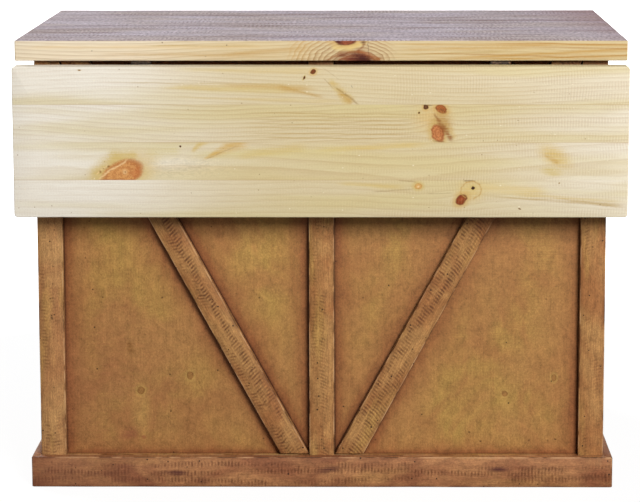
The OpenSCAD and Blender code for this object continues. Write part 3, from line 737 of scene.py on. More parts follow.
LEAF_SPOTS = [[
    Stroke(-420, 836, -30, 831, 1.2, 1.8, OLIVE, 0.55),
    Stroke(-90, 832, 4, 805, 1.8, 2.4, OLIVE, 0.65),
    Stroke(-320, 826, -20, 822.5, 4, 9.5, AMBER, 0.75),
    Stroke(-200, 830, 0, 823, 2, 5, RESIN, 0.55),
    Stroke(-90, 826.5, 10, 806, 5, 3, RESIN, 0.6),
    Stroke(-300, 861, 10, 857, 3, 7, AMBER, 0.5),
    Stroke(-300, 806, 60, 797, 1.2, 4.5, AMBER, 0.4),
    Stroke(16, 842, 62, 792, 5, 11, srgb(200, 172, 104), 0.95),
    Stroke(33, 820, 64, 794, 4.5, 6, srgb(186, 148, 80), 0.9),
    Stroke(25, 829, 80, 789, 1.6, 1.8, srgb(146, 114, 62), 0.7),
    Stroke(6, 844, 27, 822, 0.8, 1.4, BROWN_LINE, 0.45),
    Stroke(2, 866, 40, 839, 0.8, 0.8, BROWN_LINE, 0.3),
    Stroke(61, 830, 65, 824, 0.8, 0.8, srgb(100, 92, 96), 0.8),
    Knot(-14.5, 856.8, 5, 4.8, 0, srgb(116, 52, 2), DARK_KNOT, ORANGE_KNOT),
    Knot(-31.5, 844, 1.7, 3.8, -18, DARK_KNOT, DARK_KNOT, AMBER),
    Knot(-475.5, 860, 2.6, 1.2, 0, BROWN_LINE, BROWN_LINE, CREAM),
], [
    Stroke(10, 789, 170, 785, 8, 7, STRAW, 0.5),
    Patch(223, 762, 36, 30, 0, srgb(212, 176, 110), 0.7),
    Knot(208, 785.7, 4.8, 4.6, 0, srgb(92, 46, 10), srgb(56, 26, 6), ORANGE_KNOT),
    Patch(214.5, 789.5, 12, 1.2, 0, DARK_KNOT, 0.7),
    Knot(194.1, 775, 1.9, 1.9, 0, DARK_KNOT, DARK_KNOT, AMBER),
    Knot(238.5, 782.5, 10.5, 7.4, -30, srgb(176, 100, 46), srgb(110, 50, 8), ORANGE_KNOT),
    Patch(240, 780, 4.8, 3.2, -30, srgb(96, 42, 10), 0.8),
    Stroke(245, 762, 264, 720, 6, 7, TAN, 0.7),
    Patch(237, 750, 21, 26, -15, srgb(164, 120, 56), 1.0),
    Knot(232.1, 734.5, 11.2, 17, 18, srgb(196, 126, 74), srgb(140, 74, 34), TAN),
    Stroke(223, 774, 246, 738, 2, 5.8, srgb(134, 78, 30), 0.9),
    Stroke(237, 750, 262, 718, 6, 3.4, srgb(134, 78, 30), 0.95),
    Stroke(221, 718.5, 246, 718, 1.2, 1.2, DARK_KNOT, 0.7),
], [
    Stroke(-20, 699, 215, 713, 5, 5, srgb(206, 178, 106), 0.95),
    Stroke(-260, 690, 80, 700, 9, 12, STRAW, 0.7),
    Stroke(-350, 692, -275, 702, 14, 11, STRAW, 0.6),
    Stroke(-456, 640, -386, 688, 15, 21, srgb(194, 166, 86), 1.0),
    Stroke(-420, 679, -360, 692, 15, 7, srgb(198, 172, 96), 0.9),
    Knot(-393, 654, 40.5, 24, 22, srgb(210, 152, 90), srgb(172, 104, 54), srgb(208, 180, 116)),
    Stroke(-375, 648, -356, 662, 8, 8, srgb(186, 106, 58), 0.7),
    Stroke(-442, 640, -408, 668, 1.8, 1.8, PALE_LINE, 0.95),
    Stroke(-416, 660, -380, 683, 1.8, 1.2, PALE_LINE, 0.9),
    Stroke(-446, 650, -418, 674, 1.4, 1, PALE_LINE, 0.7),
    Patch(-387.5, 657.5, 5, 5, 0, PALE_LINE, 0.8),
    Patch(-386.8, 657.5, 2.2, 2.2, 0, srgb(150, 92, 40), 0.9),
    Patch(-421.2, 668, 2.6, 3.4, -40, srgb(120, 78, 20), 0.95),
    Patch(-436.5, 656.8, 2.2, 3, 0, srgb(136, 92, 30), 0.9),
    Patch(-430, 663, 1.6, 1.6, 0, srgb(136, 92, 30), 0.8),
    Stroke(-445, 641.5, -360, 641.5, 1.2, 1.2, srgb(150, 88, 40), 0.7),
    Stroke(-236, 680, -145, 725, 1, 16, srgb(202, 164, 92), 1.0),
    Stroke(-232, 680, -162, 710, 0.8, 1.2, BROWN_LINE, 0.4),
    Stroke(-256, 696, -224, 726, 2.6, 9, srgb(204, 174, 100), 0.9),
    Stroke(-170, 688, -20, 708, 6, 9, AMBER, 0.55),
    Knot(-277, 708, 2, 2, 0, DARK_KNOT, DARK_KNOT, CREAM),
    Patch(464, 688, 36, 19, -30, srgb(204, 174, 102), 0.95),
    Stroke(442, 690, 474, 674, 3, 4.4, srgb(190, 152, 82), 0.8),
    Patch(457, 658, 22, 8.5, -6, srgb(196, 170, 96), 0.9),
], [
    Stroke(150, 640.5, 193, 637, 1, 1.4, BROWN_LINE, 0.6),
    Stroke(100, 617, 188, 623, 0.8, 1.4, BROWN_LINE, 0.5),
    Stroke(29, 635, 170, 626, 3, 5, AMBER, 0.7),
    Knot(193.8, 628.5, 7.2, 5.8, 0, srgb(214, 170, 102), srgb(186, 138, 74), AMBER),
    Patch(193.8, 627.5, 2.4, 2.2, 0, srgb(236, 214, 168), 0.9),
    Stroke(210, 613, 264, 615, 0.8, 1, BROWN_LINE, 0.5),
    Patch(298, 620, 28, 22, 0, srgb(210, 182, 114), 0.85),
    Stroke(282, 639.5, 308, 638.5, 1.6, 1.2, DARK_KNOT, 0.7),
    Knot(302.1, 624.9, 3.4, 3.4, 0, srgb(48, 22, 8), srgb(48, 22, 8), AMBER),
    Knot(279.5, 601.8, 11.8, 9, 38, srgb(138, 58, 24), srgb(96, 38, 12), ORANGE_KNOT),
    Patch(280, 602, 4.8, 3.6, 38, srgb(172, 86, 46), 0.7),
    Stroke(310, 627, 450, 617, 8, 10, srgb(212, 186, 122), 0.75),
    Stroke(330, 609, 610, 588, 1.4, 3, OLIVE, 0.75),
    Stroke(460, 605, 615, 585, 1.2, 3.4, OLIVE, 0.65),
    Stroke(380, 612, 610, 596, 3, 4.5, AMBER, 0.6),
    Knot(396, 583, 3, 1.2, -18, DARK_KNOT, BROWN_LINE, CREAM),
    Knot(472, 635, 1.3, 1.3, 0, BROWN_LINE, BROWN_LINE, CREAM),
]]
LEAF_SPOTS[1][:0] = [Stroke(-160, line + 3, 210, line - 1, 1, 1.4, OLIVE, 0.75)
                     for line in (723.5, 732, 743, 751, 758.8, 766, 772.5)]

# Resin stands round the dark dot as a ring of strokes that overlap, open at the bottom.
RING_X, RING_Z, RING_WIDE, RING_HIGH, RING_SWING = 298.5, 620.5, 22.5, 18.5, 26
for turn in range(-60, 240, 40):
    ends = []
    for angle in (math.radians(turn - RING_SWING), math.radians(turn + RING_SWING)):
        ends += [RING_X + RING_WIDE * math.cos(angle), RING_Z + RING_HIGH * math.sin(angle)]
    LEAF_SPOTS[3].append(Stroke(*ends, 1.3, 1.3, RESIN, 0.8))


def leaf_pine(board):
    """Pine of one board of the drop leaf, with its knots and amber strokes in their places."""
    recipe = Recipe(f"leaf_pine_{board + 1}")
    spots = LEAF_SPOTS[board]
    x, _, z = recipe.place
    lie = board_lie(recipe)
    late, fine = rings(lie, bend_round(x, z, spots))
    cloud = noise(x * 2.2, z * 7.0, lie.seed)
    straw = noise(x * 1.6 + 7.0, z * 16.0, lie.seed)
    dry = noise(x * 3.0, z * 40.0, lie.seed * 3.0, detail=3.0)
    tooth = noise(x, z, scale=330.0, detail=4.0, roughness=0.7)
    pale = (x * -1.0).rise(0.02, 0.60) + x.rise(0.18, 0.62) * 0.52
    colour = mix((pale + cloud * 0.6 - 0.22).rise(0.0, 1.0), CREAM, BLEACHED)
    colour = mix(straw.rise(0.46, 0.66) * 0.55, colour, STRAW)
    shown = (dry * 0.7 + 0.08) * (pale * -0.5 + 1.0) * RINGS_SHOW[board]
    colour = mix(late * shown, colour, LATE)
    colour = mix(fine.rise(0.35, 0.8) * 0.16, colour, LATE)
    colour = paint(colour, x, z, spots, LEAF_FLOW)
    sawn = x.rise(-0.05, 0.25) * 0.7 + 0.3
    patchy = noise(x * 9.0, z * 60.0, 4.0).rise(0.40, 0.62)
    saw = saw_marks(lie, *LEAF_SAW) * sawn * patchy
    colour = mix(saw * 0.17, colour, LATE)
    light = (tooth - 0.5) * 0.26 + 1.0
    if board == CURLY_BOARD:
        curl = noise(x * 50.0, z * 130.0, detail=3.0, swirl=2.0)
        curly = radius((x + 0.275) / 0.10, (z - 0.666) / 0.024).rise(1.3, 0.4)
        light = light + curly * (curl - 0.5) * 0.5
    colour = tone(colour, light)
    dimples = speckle(recipe.surface(), *DIMPLES)
    colour = mix(dimples * 0.6, colour, BROWN_LINE)
    chips = speckle(point(x * 0.6 + 3.0, z), *CHIPS)
    colour = mix(chips * 0.5, colour, CHIP_PALE)
    seam = arris(recipe)
    colour = mix(seam.rise(0.0012, 0.0003) * dry.rise(0.35, 0.6) * 0.4, colour, LATE)
    height = late * 0.2 + fine * 0.25 + tooth * 0.15 + saw * 0.4 - dimples * 0.5 + 0.3
    return recipe.finish(colour, fine * 0.15 + 0.45, height, PINE_RELIEF)


leaf_finishes = [leaf_pine(board) for board in range(len(leaf_boxes))]

# %% [markdown]
# ## The drop leaf
#
# The leaf is four boards glued edge to edge and planed flush, so it is modelled as one
# slab: its corners are rounded first, then its arrises are eased. It is cut along the glue
# lines with bisect, and each strip gets the grain of its own board.

# %% Model the drop leaf
LEAF_CORNER = 0.007
SLAB_EASE = 0.0022
STRAIGHT = 1e-5
LEAF_HEARTS = [(0.30, 0.04, 0.0082), (0.34, 0.02, 0.0088), (0.02, 0.06, 0.0105), (-0.24, 0.05, 0.0120)]


def select_edges(made, wanted):
    """Selects the edges of the mesh in edit mode whose direction passes a test."""
    bpy.ops.mesh.select_mode(type="EDGE")
    bpy.ops.mesh.select_all(action="DESELECT")
    bpy.ops.object.mode_set(mode="OBJECT")
    points = made.data.vertices
    for edge in made.data.edges:
        first, second = (points[i].co for i in edge.vertices)
        edge.select = wanted(second - first)
    bpy.ops.object.mode_set(mode="EDIT")


def make_slab(name, low, high, boxes, hearts=None, corner=0.0):
    """Boards glued edge to edge: one slab, cut along its glue lines, with a grain for each."""
    (along, across, through), _ = box_axes(*boxes[0])
    hearts = hearts or [None] * len(boxes)
    made = blank(name, low, high)
    if corner:
        select_edges(made, lambda line: abs(line.dot(through)) > STRAIGHT)
        ease_edges(corner, 6)
        select_edges(made, lambda line: abs(line.dot(through)) < STRAIGHT)
    ease_edges(SLAB_EASE, 3)
    seams = sorted(box[0].dot(across) for box in boxes)[1:]
    for seam in seams:
        bisect(across * seam, across)
    cut_across(made, along)
    knock_about(made)
    for (start, end), heart in zip(boxes, hearts):
        middle = (start + end) / 2
        half = [(end - start).dot(axis) / 2 for axis in (along, across, through)]

        def on_board(place):
            return abs((place - middle).dot(across)) < half[1] + KNOCK

        lay_grain(made, middle, (along, across, through), half, heart, on_board)
    return made


leaf = make_slab("drop_leaf_boards", leaf_low, leaf_high, leaf_boxes, LEAF_HEARTS, LEAF_CORNER)
dress(leaf, "drop_leaf", leaf_finishes[0])
for finish in leaf_finishes[1:]:
    leaf.data.materials.append(finish)
for face in leaf.data.polygons:
    board = int((leaf_high.z - face.center.z) / STAVE)
    face.material_index = min(max(board, 0), len(leaf_boxes) - 1)

# %% [markdown]
# ## The worktop
#
# The worktop is ten boards glued up like the leaf. Its edge is pale like the leaf, but its
# upper face is a greyed mauve with paler lavender patches, partly the wood's own grey and
# partly painted sheen of a face seen low; it is darker in streaks, with saw marks across it.
# So the material asks how high a point is and puts the mauve on the upper face only.
#
# The knot in the near edge is a branch that runs across the board. It pushed the yearly
# rings aside, so they stand round it as arches.

# %% Model the worktop
MAUVE = srgb(188, 174, 173)
LAVENDER = srgb(194, 183, 193)
MAUVE_DARK = srgb(121, 96, 93)
MAUVE_RED = srgb(144, 105, 103)
EDGE_PINE = srgb(207, 188, 143)
EDGE_PALE = srgb(230, 216, 190)
EDGE_LINE = srgb(168, 122, 62)
BRANCH = (0.072, 0.862)
TOP_SAW = (0.0084, 0.60)
TOP_SPECKS = (0.045, 0.0012, 0.3)
TOP_CORNER = 0.003

top_low, top_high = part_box("worktop")
EDGE_SPOTS = [
    Stroke(-620, 900, -80, 902, 3, 5, srgb(222, 190, 132), 0.5),
    Stroke(-450, 887, -90, 885, 2.5, 4.5, RESIN, 0.5),
    Stroke(-200, 885, -20, 899, 2.6, 6, RESIN, 0.6),
    Stroke(-360, 904, -120, 903, 1.2, 2.2, OLIVE, 0.6),
    Stroke(20, 901, 70, 895, 5, 5, srgb(226, 202, 130), 0.85),
    Stroke(50, 897, 96, 912, 4.5, 3.5, srgb(226, 202, 130), 0.85),
    Stroke(4, 871, 44, 889, 2, 3, srgb(146, 88, 46), 0.95),
    Stroke(30, 888, 90, 891.5, 3, 5, srgb(142, 84, 44), 0.95),
    Stroke(70, 893, 122, 872, 5, 4.5, srgb(164, 100, 54), 0.95),
    Stroke(34, 879, 104, 880, 6, 10, srgb(164, 100, 66), 0.95),
    Stroke(50, 876, 82, 875.5, 3, 2.6, srgb(190, 128, 100), 0.85),
    Patch(68, 875, 33, 11, 0, srgb(122, 68, 40), 0.85),
    Patch(44, 885, 11, 3.4, 12, srgb(96, 44, 24), 0.95),
    Patch(73, 886, 16, 4, -4, srgb(84, 32, 20), 1.0),
    Patch(86, 877, 13, 7, -20, srgb(84, 36, 26), 0.95),
    Patch(61, 877, 13, 3, 0, srgb(116, 58, 40), 0.9),
    Patch(79, 876.5, 26, 10, -10, srgb(84, 36, 26), 1.0),
    Patch(86, 875, 15, 8, -10, srgb(60, 22, 18), 1.0),
    Stroke(72, 889, 92, 912, 3, 1.8, srgb(130, 76, 38), 0.85),
    Stroke(94.6, 917, 94.6, 870, 0.8, 0.8, DARK_KNOT, 0.7),
    Patch(113, 877, 8, 3, 10, srgb(150, 92, 46), 0.8),
    Knot(50, 914, 20, 9.2, 0, srgb(148, 76, 44), srgb(96, 38, 20), ORANGE_KNOT),
    Patch(35.5, 911, 9, 5, -30, srgb(64, 16, 8), 1.0),
    Patch(85.5, 910, 6, 4, 0, srgb(84, 28, 14), 1.0),
    Stroke(130, 906, 470, 904, 1.8, 3.4, RESIN, 0.7),
    Stroke(150, 896, 420, 899, 2, 3.4, RESIN, 0.75),
    Stroke(140, 885, 380, 892, 1.4, 2.6, OLIVE, 0.7),
    Stroke(220, 876, 700, 900, 2.6, 4, RESIN, 0.95),
    Stroke(340, 907, 700, 903, 2.6, 3.6, RESIN, 0.9),
    Stroke(300, 876, 700, 885, 1.8, 3, RESIN, 0.9),
    Stroke(380, 901, 700, 895, 1.4, 1.8, EDGE_LINE, 0.7),
    Stroke(180, 889, 560, 880, 1, 1.6, EDGE_LINE, 0.6),
    Stroke(300, 908.5, 700, 905, 0.8, 1.4, EDGE_LINE, 0.7),
    Stroke(440, 879, 720, 887, 1, 1.6, EDGE_LINE, 0.6),
]


def arches(colour, x, z):
    """Yearly rings that the branch in the near edge pushed aside: arches round its middle."""
    warp = noise(x * 24.0, z * 38.0, 3.0, detail=3.0) - 0.5
    far = radius((x - BRANCH[0]) * 0.62, z - BRANCH[1]) + warp * 0.012
    year = (far / 0.0064).math("FRACT")
    line = year ** 2.0 * year.rise(1.0, 0.85)
    reach = radius((x - 0.040) / 0.112, (z - 0.890) / 0.060).rise(1.05, 0.75)
    ring = mix(far.rise(0.045, 0.085), srgb(146, 96, 50), srgb(192, 146, 78))
    colour = mix(line * reach * 0.95, colour, ring)
    return mix((line * 0.6 + 0.4) * far.rise(0.040, 0.018), colour, srgb(108, 56, 34))


def top_pine():
    """Pine of the worktop: pale edges with a knot in the near one, and a mauve upper face that is partly
    painted sheen.
    """
    recipe = Recipe("top_pine")
    x, y, z = recipe.place
    lie = board_lie(recipe)
    near = y.rise(top_low.y + 0.06, top_low.y + 0.01)
    late, fine = rings(lie, bend_round(x, z, EDGE_SPOTS) * near)
    cloud = noise(x * 3.0, y * 9.0, lie.seed)
    pale = (x * -1.0).rise(0.00, 0.60) - x.rise(0.2, 0.5) * 0.3
    colour = mix((cloud * 0.6 + pale - 0.1).rise(0.0, 1.0), EDGE_PINE, EDGE_PALE)
    colour = mix(late * 0.5, colour, LATE)
    colour = mix(fine.rise(0.35, 0.8) * 0.25, colour, LATE)
    branch = arches(colour, x, z)
    colour = mix(near, colour, paint(branch, x, z, EDGE_SPOTS))
    upper = z.rise(top_high.z - 0.0016, top_high.z - 0.0003)
    top_streaks = noise(x * 4.0, y * 22.0, lie.seed, detail=5.0, roughness=0.7)
    bands = noise(x * 1.2, y * 13.0, 8.0)
    cool = noise(x * 3.0 + 5.0, y * 8.0)
    grain = noise(x * 130.0, y * 60.0, detail=4.0, roughness=0.75)
    rows = noise(x * 5.0, y * 26.0, 2.0)
    saw = saw_marks(lie, *TOP_SAW)
    mark = saw.rise(0.45, 0.85) * rows.rise(0.5, 0.64) * (grain.rise(0.35, 0.6) * 0.6 + 0.4)
    # The mauve and the lavender patches of the upper face are partly painted sheen.
    mauve_face = mix(cool.rise(0.35, 0.65), MAUVE, LAVENDER)
    mauve_face = mix(top_streaks.rise(0.45, 0.72) * 0.7, mauve_face, MAUVE_DARK)
    mauve_face = mix(bands.rise(0.5, 0.66) * 0.35, mauve_face, MAUVE_DARK)
    mauve_face = mix(mark * 0.6, mauve_face, MAUVE_DARK)
    mauve_face = mix((x + y * 0.2).rise(0.44, 0.70) * 0.65, mauve_face, MAUVE_RED)
    mauve_face = tone(mauve_face, (grain - 0.5) * 2.4 + 1.0)
    colour = mix(upper, colour, mauve_face)
    specks = speckle(recipe.surface(), *TOP_SPECKS)
    colour = mix(specks * 0.7, colour, DARK_KNOT)
    colour = mix(arris(recipe).rise(0.0012, 0.0) * 0.6, colour, MAUVE_RED)
    height = late * 0.3 + fine * 0.3 + grain * 0.3 - mark * upper * 0.6 + 0.4
    return recipe.finish(colour, upper * 0.35 + fine * 0.15 + 0.45, height, PINE_RELIEF)


top_boxes = sorted(solids("worktop"), key=lambda box: box[0].y)
worktop = make_slab("worktop_boards", top_low, top_high, top_boxes, corner=TOP_CORNER)
dress(worktop, "worktop", top_pine())

# %% [markdown]
# ## Brown stain
#
# The base is pine too, but under a brown stain that was wiped off again. Wiping leaves the
# stain in the pores, in the marks of the saw and along the inner corners, and rubs it thin
# on the arrises. On the photograph the saw marks stand out most on the braces, as rows of
# short dark dashes across the board. Each dash is the hump of a sine along the board, with
# its own length, place and strength, and a slow noise wipes part of each row away.

# %% Stained boards
OCHRE = srgb(175, 129, 77)
GOLD = srgb(182, 142, 76)
RUSSET = srgb(156, 104, 60)
DEEP_RUSSET = srgb(122, 68, 40)
GLAZE_AND_SHADE = srgb(82, 42, 22)
UMBER_AND_SHADE = srgb(32, 14, 6)
RUBBED = srgb(206, 164, 122)
STAIN_SPECKS = (0.036, 0.0017, 0.5)
DASH_PITCH = 0.0068
STAIN_EASE = 0.0019


def chance(x, y):
    """Three random numbers from 0 to 1 for each whole pair (x, y)."""
    return add(x, "ShaderNodeTexWhiteNoise", "Color", {"noise_dimensions": "2D"}, Vector=point(x, y)).parts()


def dashes(lie, lane, reach, salt, missing):
    """A row of soft ripples across a board, one at every pitch, about a lane that is a distance
    from the board's middle. Each has its own length, place and strength, and missing says how
    much of the row is wiped away."""
    wander = noise(lie.along * 3.0, lie.seed + salt, detail=1.0) - 0.5
    shake = noise(lie.along * 40.0, lie.across * 30.0, salt, detail=1.0)
    tilt = chance(lie.seed * 31.0, salt)[0] - 0.5
    bowed = lie.along + lie.across * tilt * 0.9 + lie.across * lie.across * 2.6
    step = (bowed + 5.0) / DASH_PITCH + shake * 0.6
    place, length, force = chance(step.math("FLOOR"), lie.seed + salt)
    middle = wander * reach * 4.0 + (place - 0.5) * reach * 0.5 + lane
    far = (lie.across - middle).math("ABSOLUTE") / ((length * 0.5 + 0.6) * reach)
    wave = (step.math("FRACT") * math.pi).math("SINE")
    there = noise(lie.along * 9.0, lie.across * 30.0, lie.seed * 2.0 + salt)
    row = far.rise(1.3, 0.3) * there.rise(missing, missing + 0.14)
    return wave * wave * row * (force * 0.6 + 0.4)


def stained(name, pale, deep, force, lanes, missing, sunny=0.6, spots=()):
    """Pine under a wiped brown stain, darker along its arrises from stain held there and from
    painted shade. force is how strong the saw marks are, and lanes says where across a board
    their rows lie, and how long the marks are, in metres. sunny is how much of it is rubbed
    to gold, and spots are single dents filled with stain."""
    recipe = Recipe(name)
    x, _, z = recipe.place
    lie = board_lie(recipe)
    late, fine = rings(lie)
    edge = arris(recipe)
    broad = noise(lie.along * 8.0, lie.across * 14.0, lie.seed * 4.0, detail=3.0, swirl=0.8)
    warm = noise(lie.along * 5.0, lie.across * 22.0, lie.seed * 7.0)
    tooth = noise(lie.along * 240.0, lie.across * 380.0, lie.seed, detail=4.0, roughness=0.8)
    blot = noise(lie.along * 50.0, lie.across * 75.0, lie.seed * 2.0, detail=3.0)
    wear_and_edge_shade = noise(lie.along * 25.0, lie.across * 40.0, lie.seed, detail=3.0)
    colour = mix(broad.rise(0.36, 0.66), pale, deep)
    colour = mix(warm.rise(0.52, 0.72) * sunny, colour, GOLD)
    colour = mix(late * 0.2, colour, GLAZE_AND_SHADE)
    colour = mix(fine.rise(0.35, 0.8) * 0.42, colour, GLAZE_AND_SHADE)
    colour = mix(inset(recipe)[0].rise(0.07, 0.0) * blot.rise(0.3, 0.6) * 0.5, colour, DEEP_RUSSET)
    mark = lie.along * 0.0
    for salt, (lane, reach) in enumerate(lanes):
        mark = mark + dashes(lie, lane, reach, 3.0 + salt, missing)
    mark = mark.math("MINIMUM", 1.0)
    colour = mix(mark * force, colour, GLAZE_AND_SHADE)
    colour = tone(colour, (tooth - 0.5) * 1.9 + (blot - 0.5) * 0.8 + (late - mark) * 0.05 + 1.03)
    # Painted shade with stain held in the edges: a darker band along every arris, broken by noise.
    colour = mix(edge.rise(0.009, 0.002) * wear_and_edge_shade.rise(0.35, 0.7) * 0.45, colour, GLAZE_AND_SHADE)
    colour = mix(edge.rise(0.0027, 0.0012) * wear_and_edge_shade.rise(0.60, 0.36) * 0.55, colour, RUBBED)
    # Painted shade with stain: a nearly black line right on the arris, where the noise is high.
    colour = mix(edge.rise(0.0020, 0.0008) * wear_and_edge_shade.rise(0.48, 0.60) * 0.75, colour, UMBER_AND_SHADE)
    colour = paint(colour, x, z, spots)
    specks = speckle(recipe.surface(), *STAIN_SPECKS)
    colour = mix(specks * 0.9, colour, UMBER_AND_SHADE)
    height = late * 0.2 + fine * 0.3 + tooth * 0.3 - mark * force * 0.7 + 0.5
    return recipe.finish(colour, fine * 0.2 + 0.45, height, STAIN_RELIEF)


SCAR = [Stroke(-548.5, 355, -546.2, 344, 1.1, 1.9, UMBER_AND_SHADE, 1.0)]
GOUGES_AND_FOOT_SHADE = [Patch(x, z, 24, 6.6, tilt, srgb(78, 40, 32), 1.0)
          for x, z, tilt in ((13.7, 36.1, 8), (359.9, 37.6, 0), (-295.4, 29.4, -4))]
# The 2 mm line along the foot of the plinth is painted shade where it stands on the floor.
GOUGES_AND_FOOT_SHADE += [Patch(-640, 30, 340, 120, 0, srgb(112, 66, 50), 0.5),
           Stroke(-1200, 0, 1200, 0, 2, 2, GLAZE_AND_SHADE, 0.9)]
STILE = (0.55, [(0.008, 0.012), (-0.012, 0.008)], 0.46)
BRACE = (0.8, [(0.012, 0.009), (0.000, 0.009), (-0.012, 0.009)], 0.37)
PLINTH = (0.85, [(0.014, 0.008), (0.000, 0.008), (-0.016, 0.009)], 0.38, 0.25)
PLINTH_PALE = srgb(176, 123, 80)
PLINTH_DEEP = srgb(140, 88, 58)
SCARRED_PALE = srgb(182, 137, 86)
SCARRED_DEEP = srgb(166, 116, 72)
stile_finish = stained("stile_stain", OCHRE, RUSSET, *STILE)
scarred_finish = stained("scarred_stile_stain", SCARRED_PALE, SCARRED_DEEP, *STILE, spots=SCAR)
brace_finish = stained("brace_stain", OCHRE, RUSSET, *BRACE)
plinth_finish = stained("plinth_stain", PLINTH_PALE, PLINTH_DEEP, *PLINTH)
gouged_and_foot_shaded_finish = stained("gouged_plinth_stain_and_foot_shade", PLINTH_PALE, PLINTH_DEEP, *PLINTH, spots=GOUGES_AND_FOOT_SHADE)

# %% [markdown]
# ## Glazed panels with painted shade
#
# On a panel the wiping cloth doesn't get into the corners, so the stain stays darker and
# redder towards the frame. Painted shade adds to it next to the frame and the braces, dark
# and nearly black in the very corner, where the recess is shaded. The middle is wiped to a
# yellow ochre. The distance to the nearest frame board therefore drives the colour; near a
# brace it is the distance to a slanting line. The shader works it out from where each board
# of the frame stands.


# %% Glazed panels with painted shade
PANEL_GOLD = srgb(174, 139, 72)
PANEL_OCHRE = srgb(168, 124, 71)
PANEL_RUSSET = srgb(157, 107, 63)
PANEL_SPECKS = (0.085, 0.0016, 0.3)


def lean(node, level=1e-4):
    """A brace's middle line: (x, z) of its foot and of its head, and its width cut level."""
    points = [(v.co.x, v.co.z) for v in frame["nodes"][node].data.vertices]
    low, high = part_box(node)
    foot = [x for x, z in points if z < low.z + level]
    head = [x for x, z in points if z > high.z - level]
    middle = [(min(end) + max(end)) / 2 for end in (foot, head)]
    return (middle[0], low.z), (middle[1], high.z), max(foot) - min(foot)


def brace_gap(x, z, node):
    """Distance in metres from a point to the side of a brace."""
    (x0, z0), (x1, z1), width = lean(node)
    slope = math.atan2(x1 - x0, z1 - z0)
    off = (x - x0 - (z - z0) * math.tan(slope)).math("ABSOLUTE")
    return (off - width / 2) * math.cos(slope)


def opening_gap(u, z, left, right, bottom, top):
    """Distance in metres from a point to the nearest side of a rectangular opening."""
    nearest = u - left
    for side in (u * -1.0 + right, z - bottom, z * -1.0 + top):
        nearest = nearest.math("MINIMUM", side)
    return nearest


def glazed_and_shaded(name, gap_at, spots=()):
    """A stained panel, darker towards its frame: redder stain, and painted shade nearest the frame. gap_at
    works out how far that is, and spots are the nail holes, knots and patches that show through the stain."""
    recipe = Recipe(name)
    x, y, z = recipe.place
    gap = gap_at(x, y, z)
    flat = x + y
    broad = noise(flat * 5.0, z * 4.0, y, detail=4.0, swirl=1.0)
    drift = noise(flat * 9.0 + 4.0, z * 6.0, y, detail=3.0, swirl=1.5)
    streaks = noise(flat * 80.0, z * 7.0, detail=3.0)
    tooth = noise(flat * 300.0, z * 240.0, detail=4.0, roughness=0.8, swirl=0.6)
    fibre = noise(flat * 330.0, z * 14.0, detail=3.0)
    blot = noise(flat * 60.0, z * 45.0, detail=3.0, swirl=1.0)
    ragged = gap + (streaks - 0.5) * 0.03 + (broad - 0.5) * 0.07
    colour = mix(broad.rise(0.32, 0.60), PANEL_GOLD, PANEL_OCHRE)
    colour = mix(drift.rise(0.38, 0.74) * 0.85, colour, PANEL_RUSSET)
    colour = mix(ragged.rise(0.10, 0.0) * 0.7, colour, PANEL_RUSSET)
    colour = mix(ragged.rise(0.045, -0.010) * 0.7, colour, DEEP_RUSSET)
    rim = gap + (streaks - 0.5) * 0.006
    colour = mix(rim.rise(0.021, 0.013) * 0.3, colour, DEEP_RUSSET)
    # Painted shade of the recess: dark within a centimetre of the frame and the braces, nearly black within a
    # few millimetres.
    colour = mix(gap.rise(0.010, 0.0) * 0.55, colour, GLAZE_AND_SHADE)
    colour = mix(gap.rise(0.004, 0.0005) * 0.7, colour, UMBER_AND_SHADE)
    colour = mix(streaks.rise(0.5, 0.8) * 0.3, colour, RUSSET)
    colour = paint(colour, x, z, spots)
    colour = tone(colour, (tooth - 0.5) * 1.5 + (blot - 0.5) * 0.8 + (fibre - 0.5) * 0.35 + 1.0)
    specks = speckle(recipe.surface(), *PANEL_SPECKS)
    colour = mix(specks * 0.8, colour, UMBER_AND_SHADE)
    return recipe.finish(colour, tooth * 0.2 + 0.5, tooth * 0.6 + streaks * 0.4, PANEL_RELIEF)


# Distance of a back panel point from its frame, which places the painted shade; along the bottom rail it
# counts double, so the shade there is narrower.
def back_gap(x, y, z):
    side = x.math("ABSOLUTE")
    low = (z - back_foot) * 2.0 + back_foot + 0.004
    gap = opening_gap(side, low, back_in, back_out, back_foot, 2.0)
    gap = gap.math("MINIMUM", z * -1.0 + top_low.z)
    return gap.math("MINIMUM", brace_gap(side, z, "back_right_brace").math("ABSOLUTE"))


def side_gap(x, y, z):
    return opening_gap(y, z, side_open[0], side_open[1], back_foot, side_open[2])


def door_gap(x, y, z):
    side = x.math("ABSOLUTE")
    gap = opening_gap(side, z, door_low.x, door_high.x, door_low.z, door_high.z)
    return gap.math("MINIMUM", brace_gap(side, z, "right_door_brace").math("ABSOLUTE"))


back_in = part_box("back_centre_stile")[1].x
back_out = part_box("back_right_stile")[0].x
back_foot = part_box("back_bottom_rails")[1].z
side_open = (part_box("side_rails")[0].y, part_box("side_rails")[1].y, solids("side_rails")[-1][0].z)
door_low, door_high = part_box("right_door_brace")
NAIL_RADIUS = 2
NAIL = srgb(52, 26, 12)
KNOT_SHADE = srgb(126, 82, 42)
KNOT_PALE = srgb(160, 116, 64)
KNOT_HALO = srgb(176, 138, 76)
NAILS = [(-445, 388), (-324, 387), (-126, 387), (84, 387), (293, 385.5), (456, 384), (-120, 93.5),
         (109.6, 91), (301, 107), (325, 88), (423, 90), (461.5, 89.3), (477, 93)]
BACK_KNOTS = [(-269, 225, 6.8, 8), (-370, 194, 7.2, 7.6), (473.5, 220.5, 5.2, 6.8), (373, 188, 5.6, 6)]
BACK_SPOTS = [Patch(x, z, NAIL_RADIUS, NAIL_RADIUS, 0, NAIL, 1.0) for x, z in NAILS]
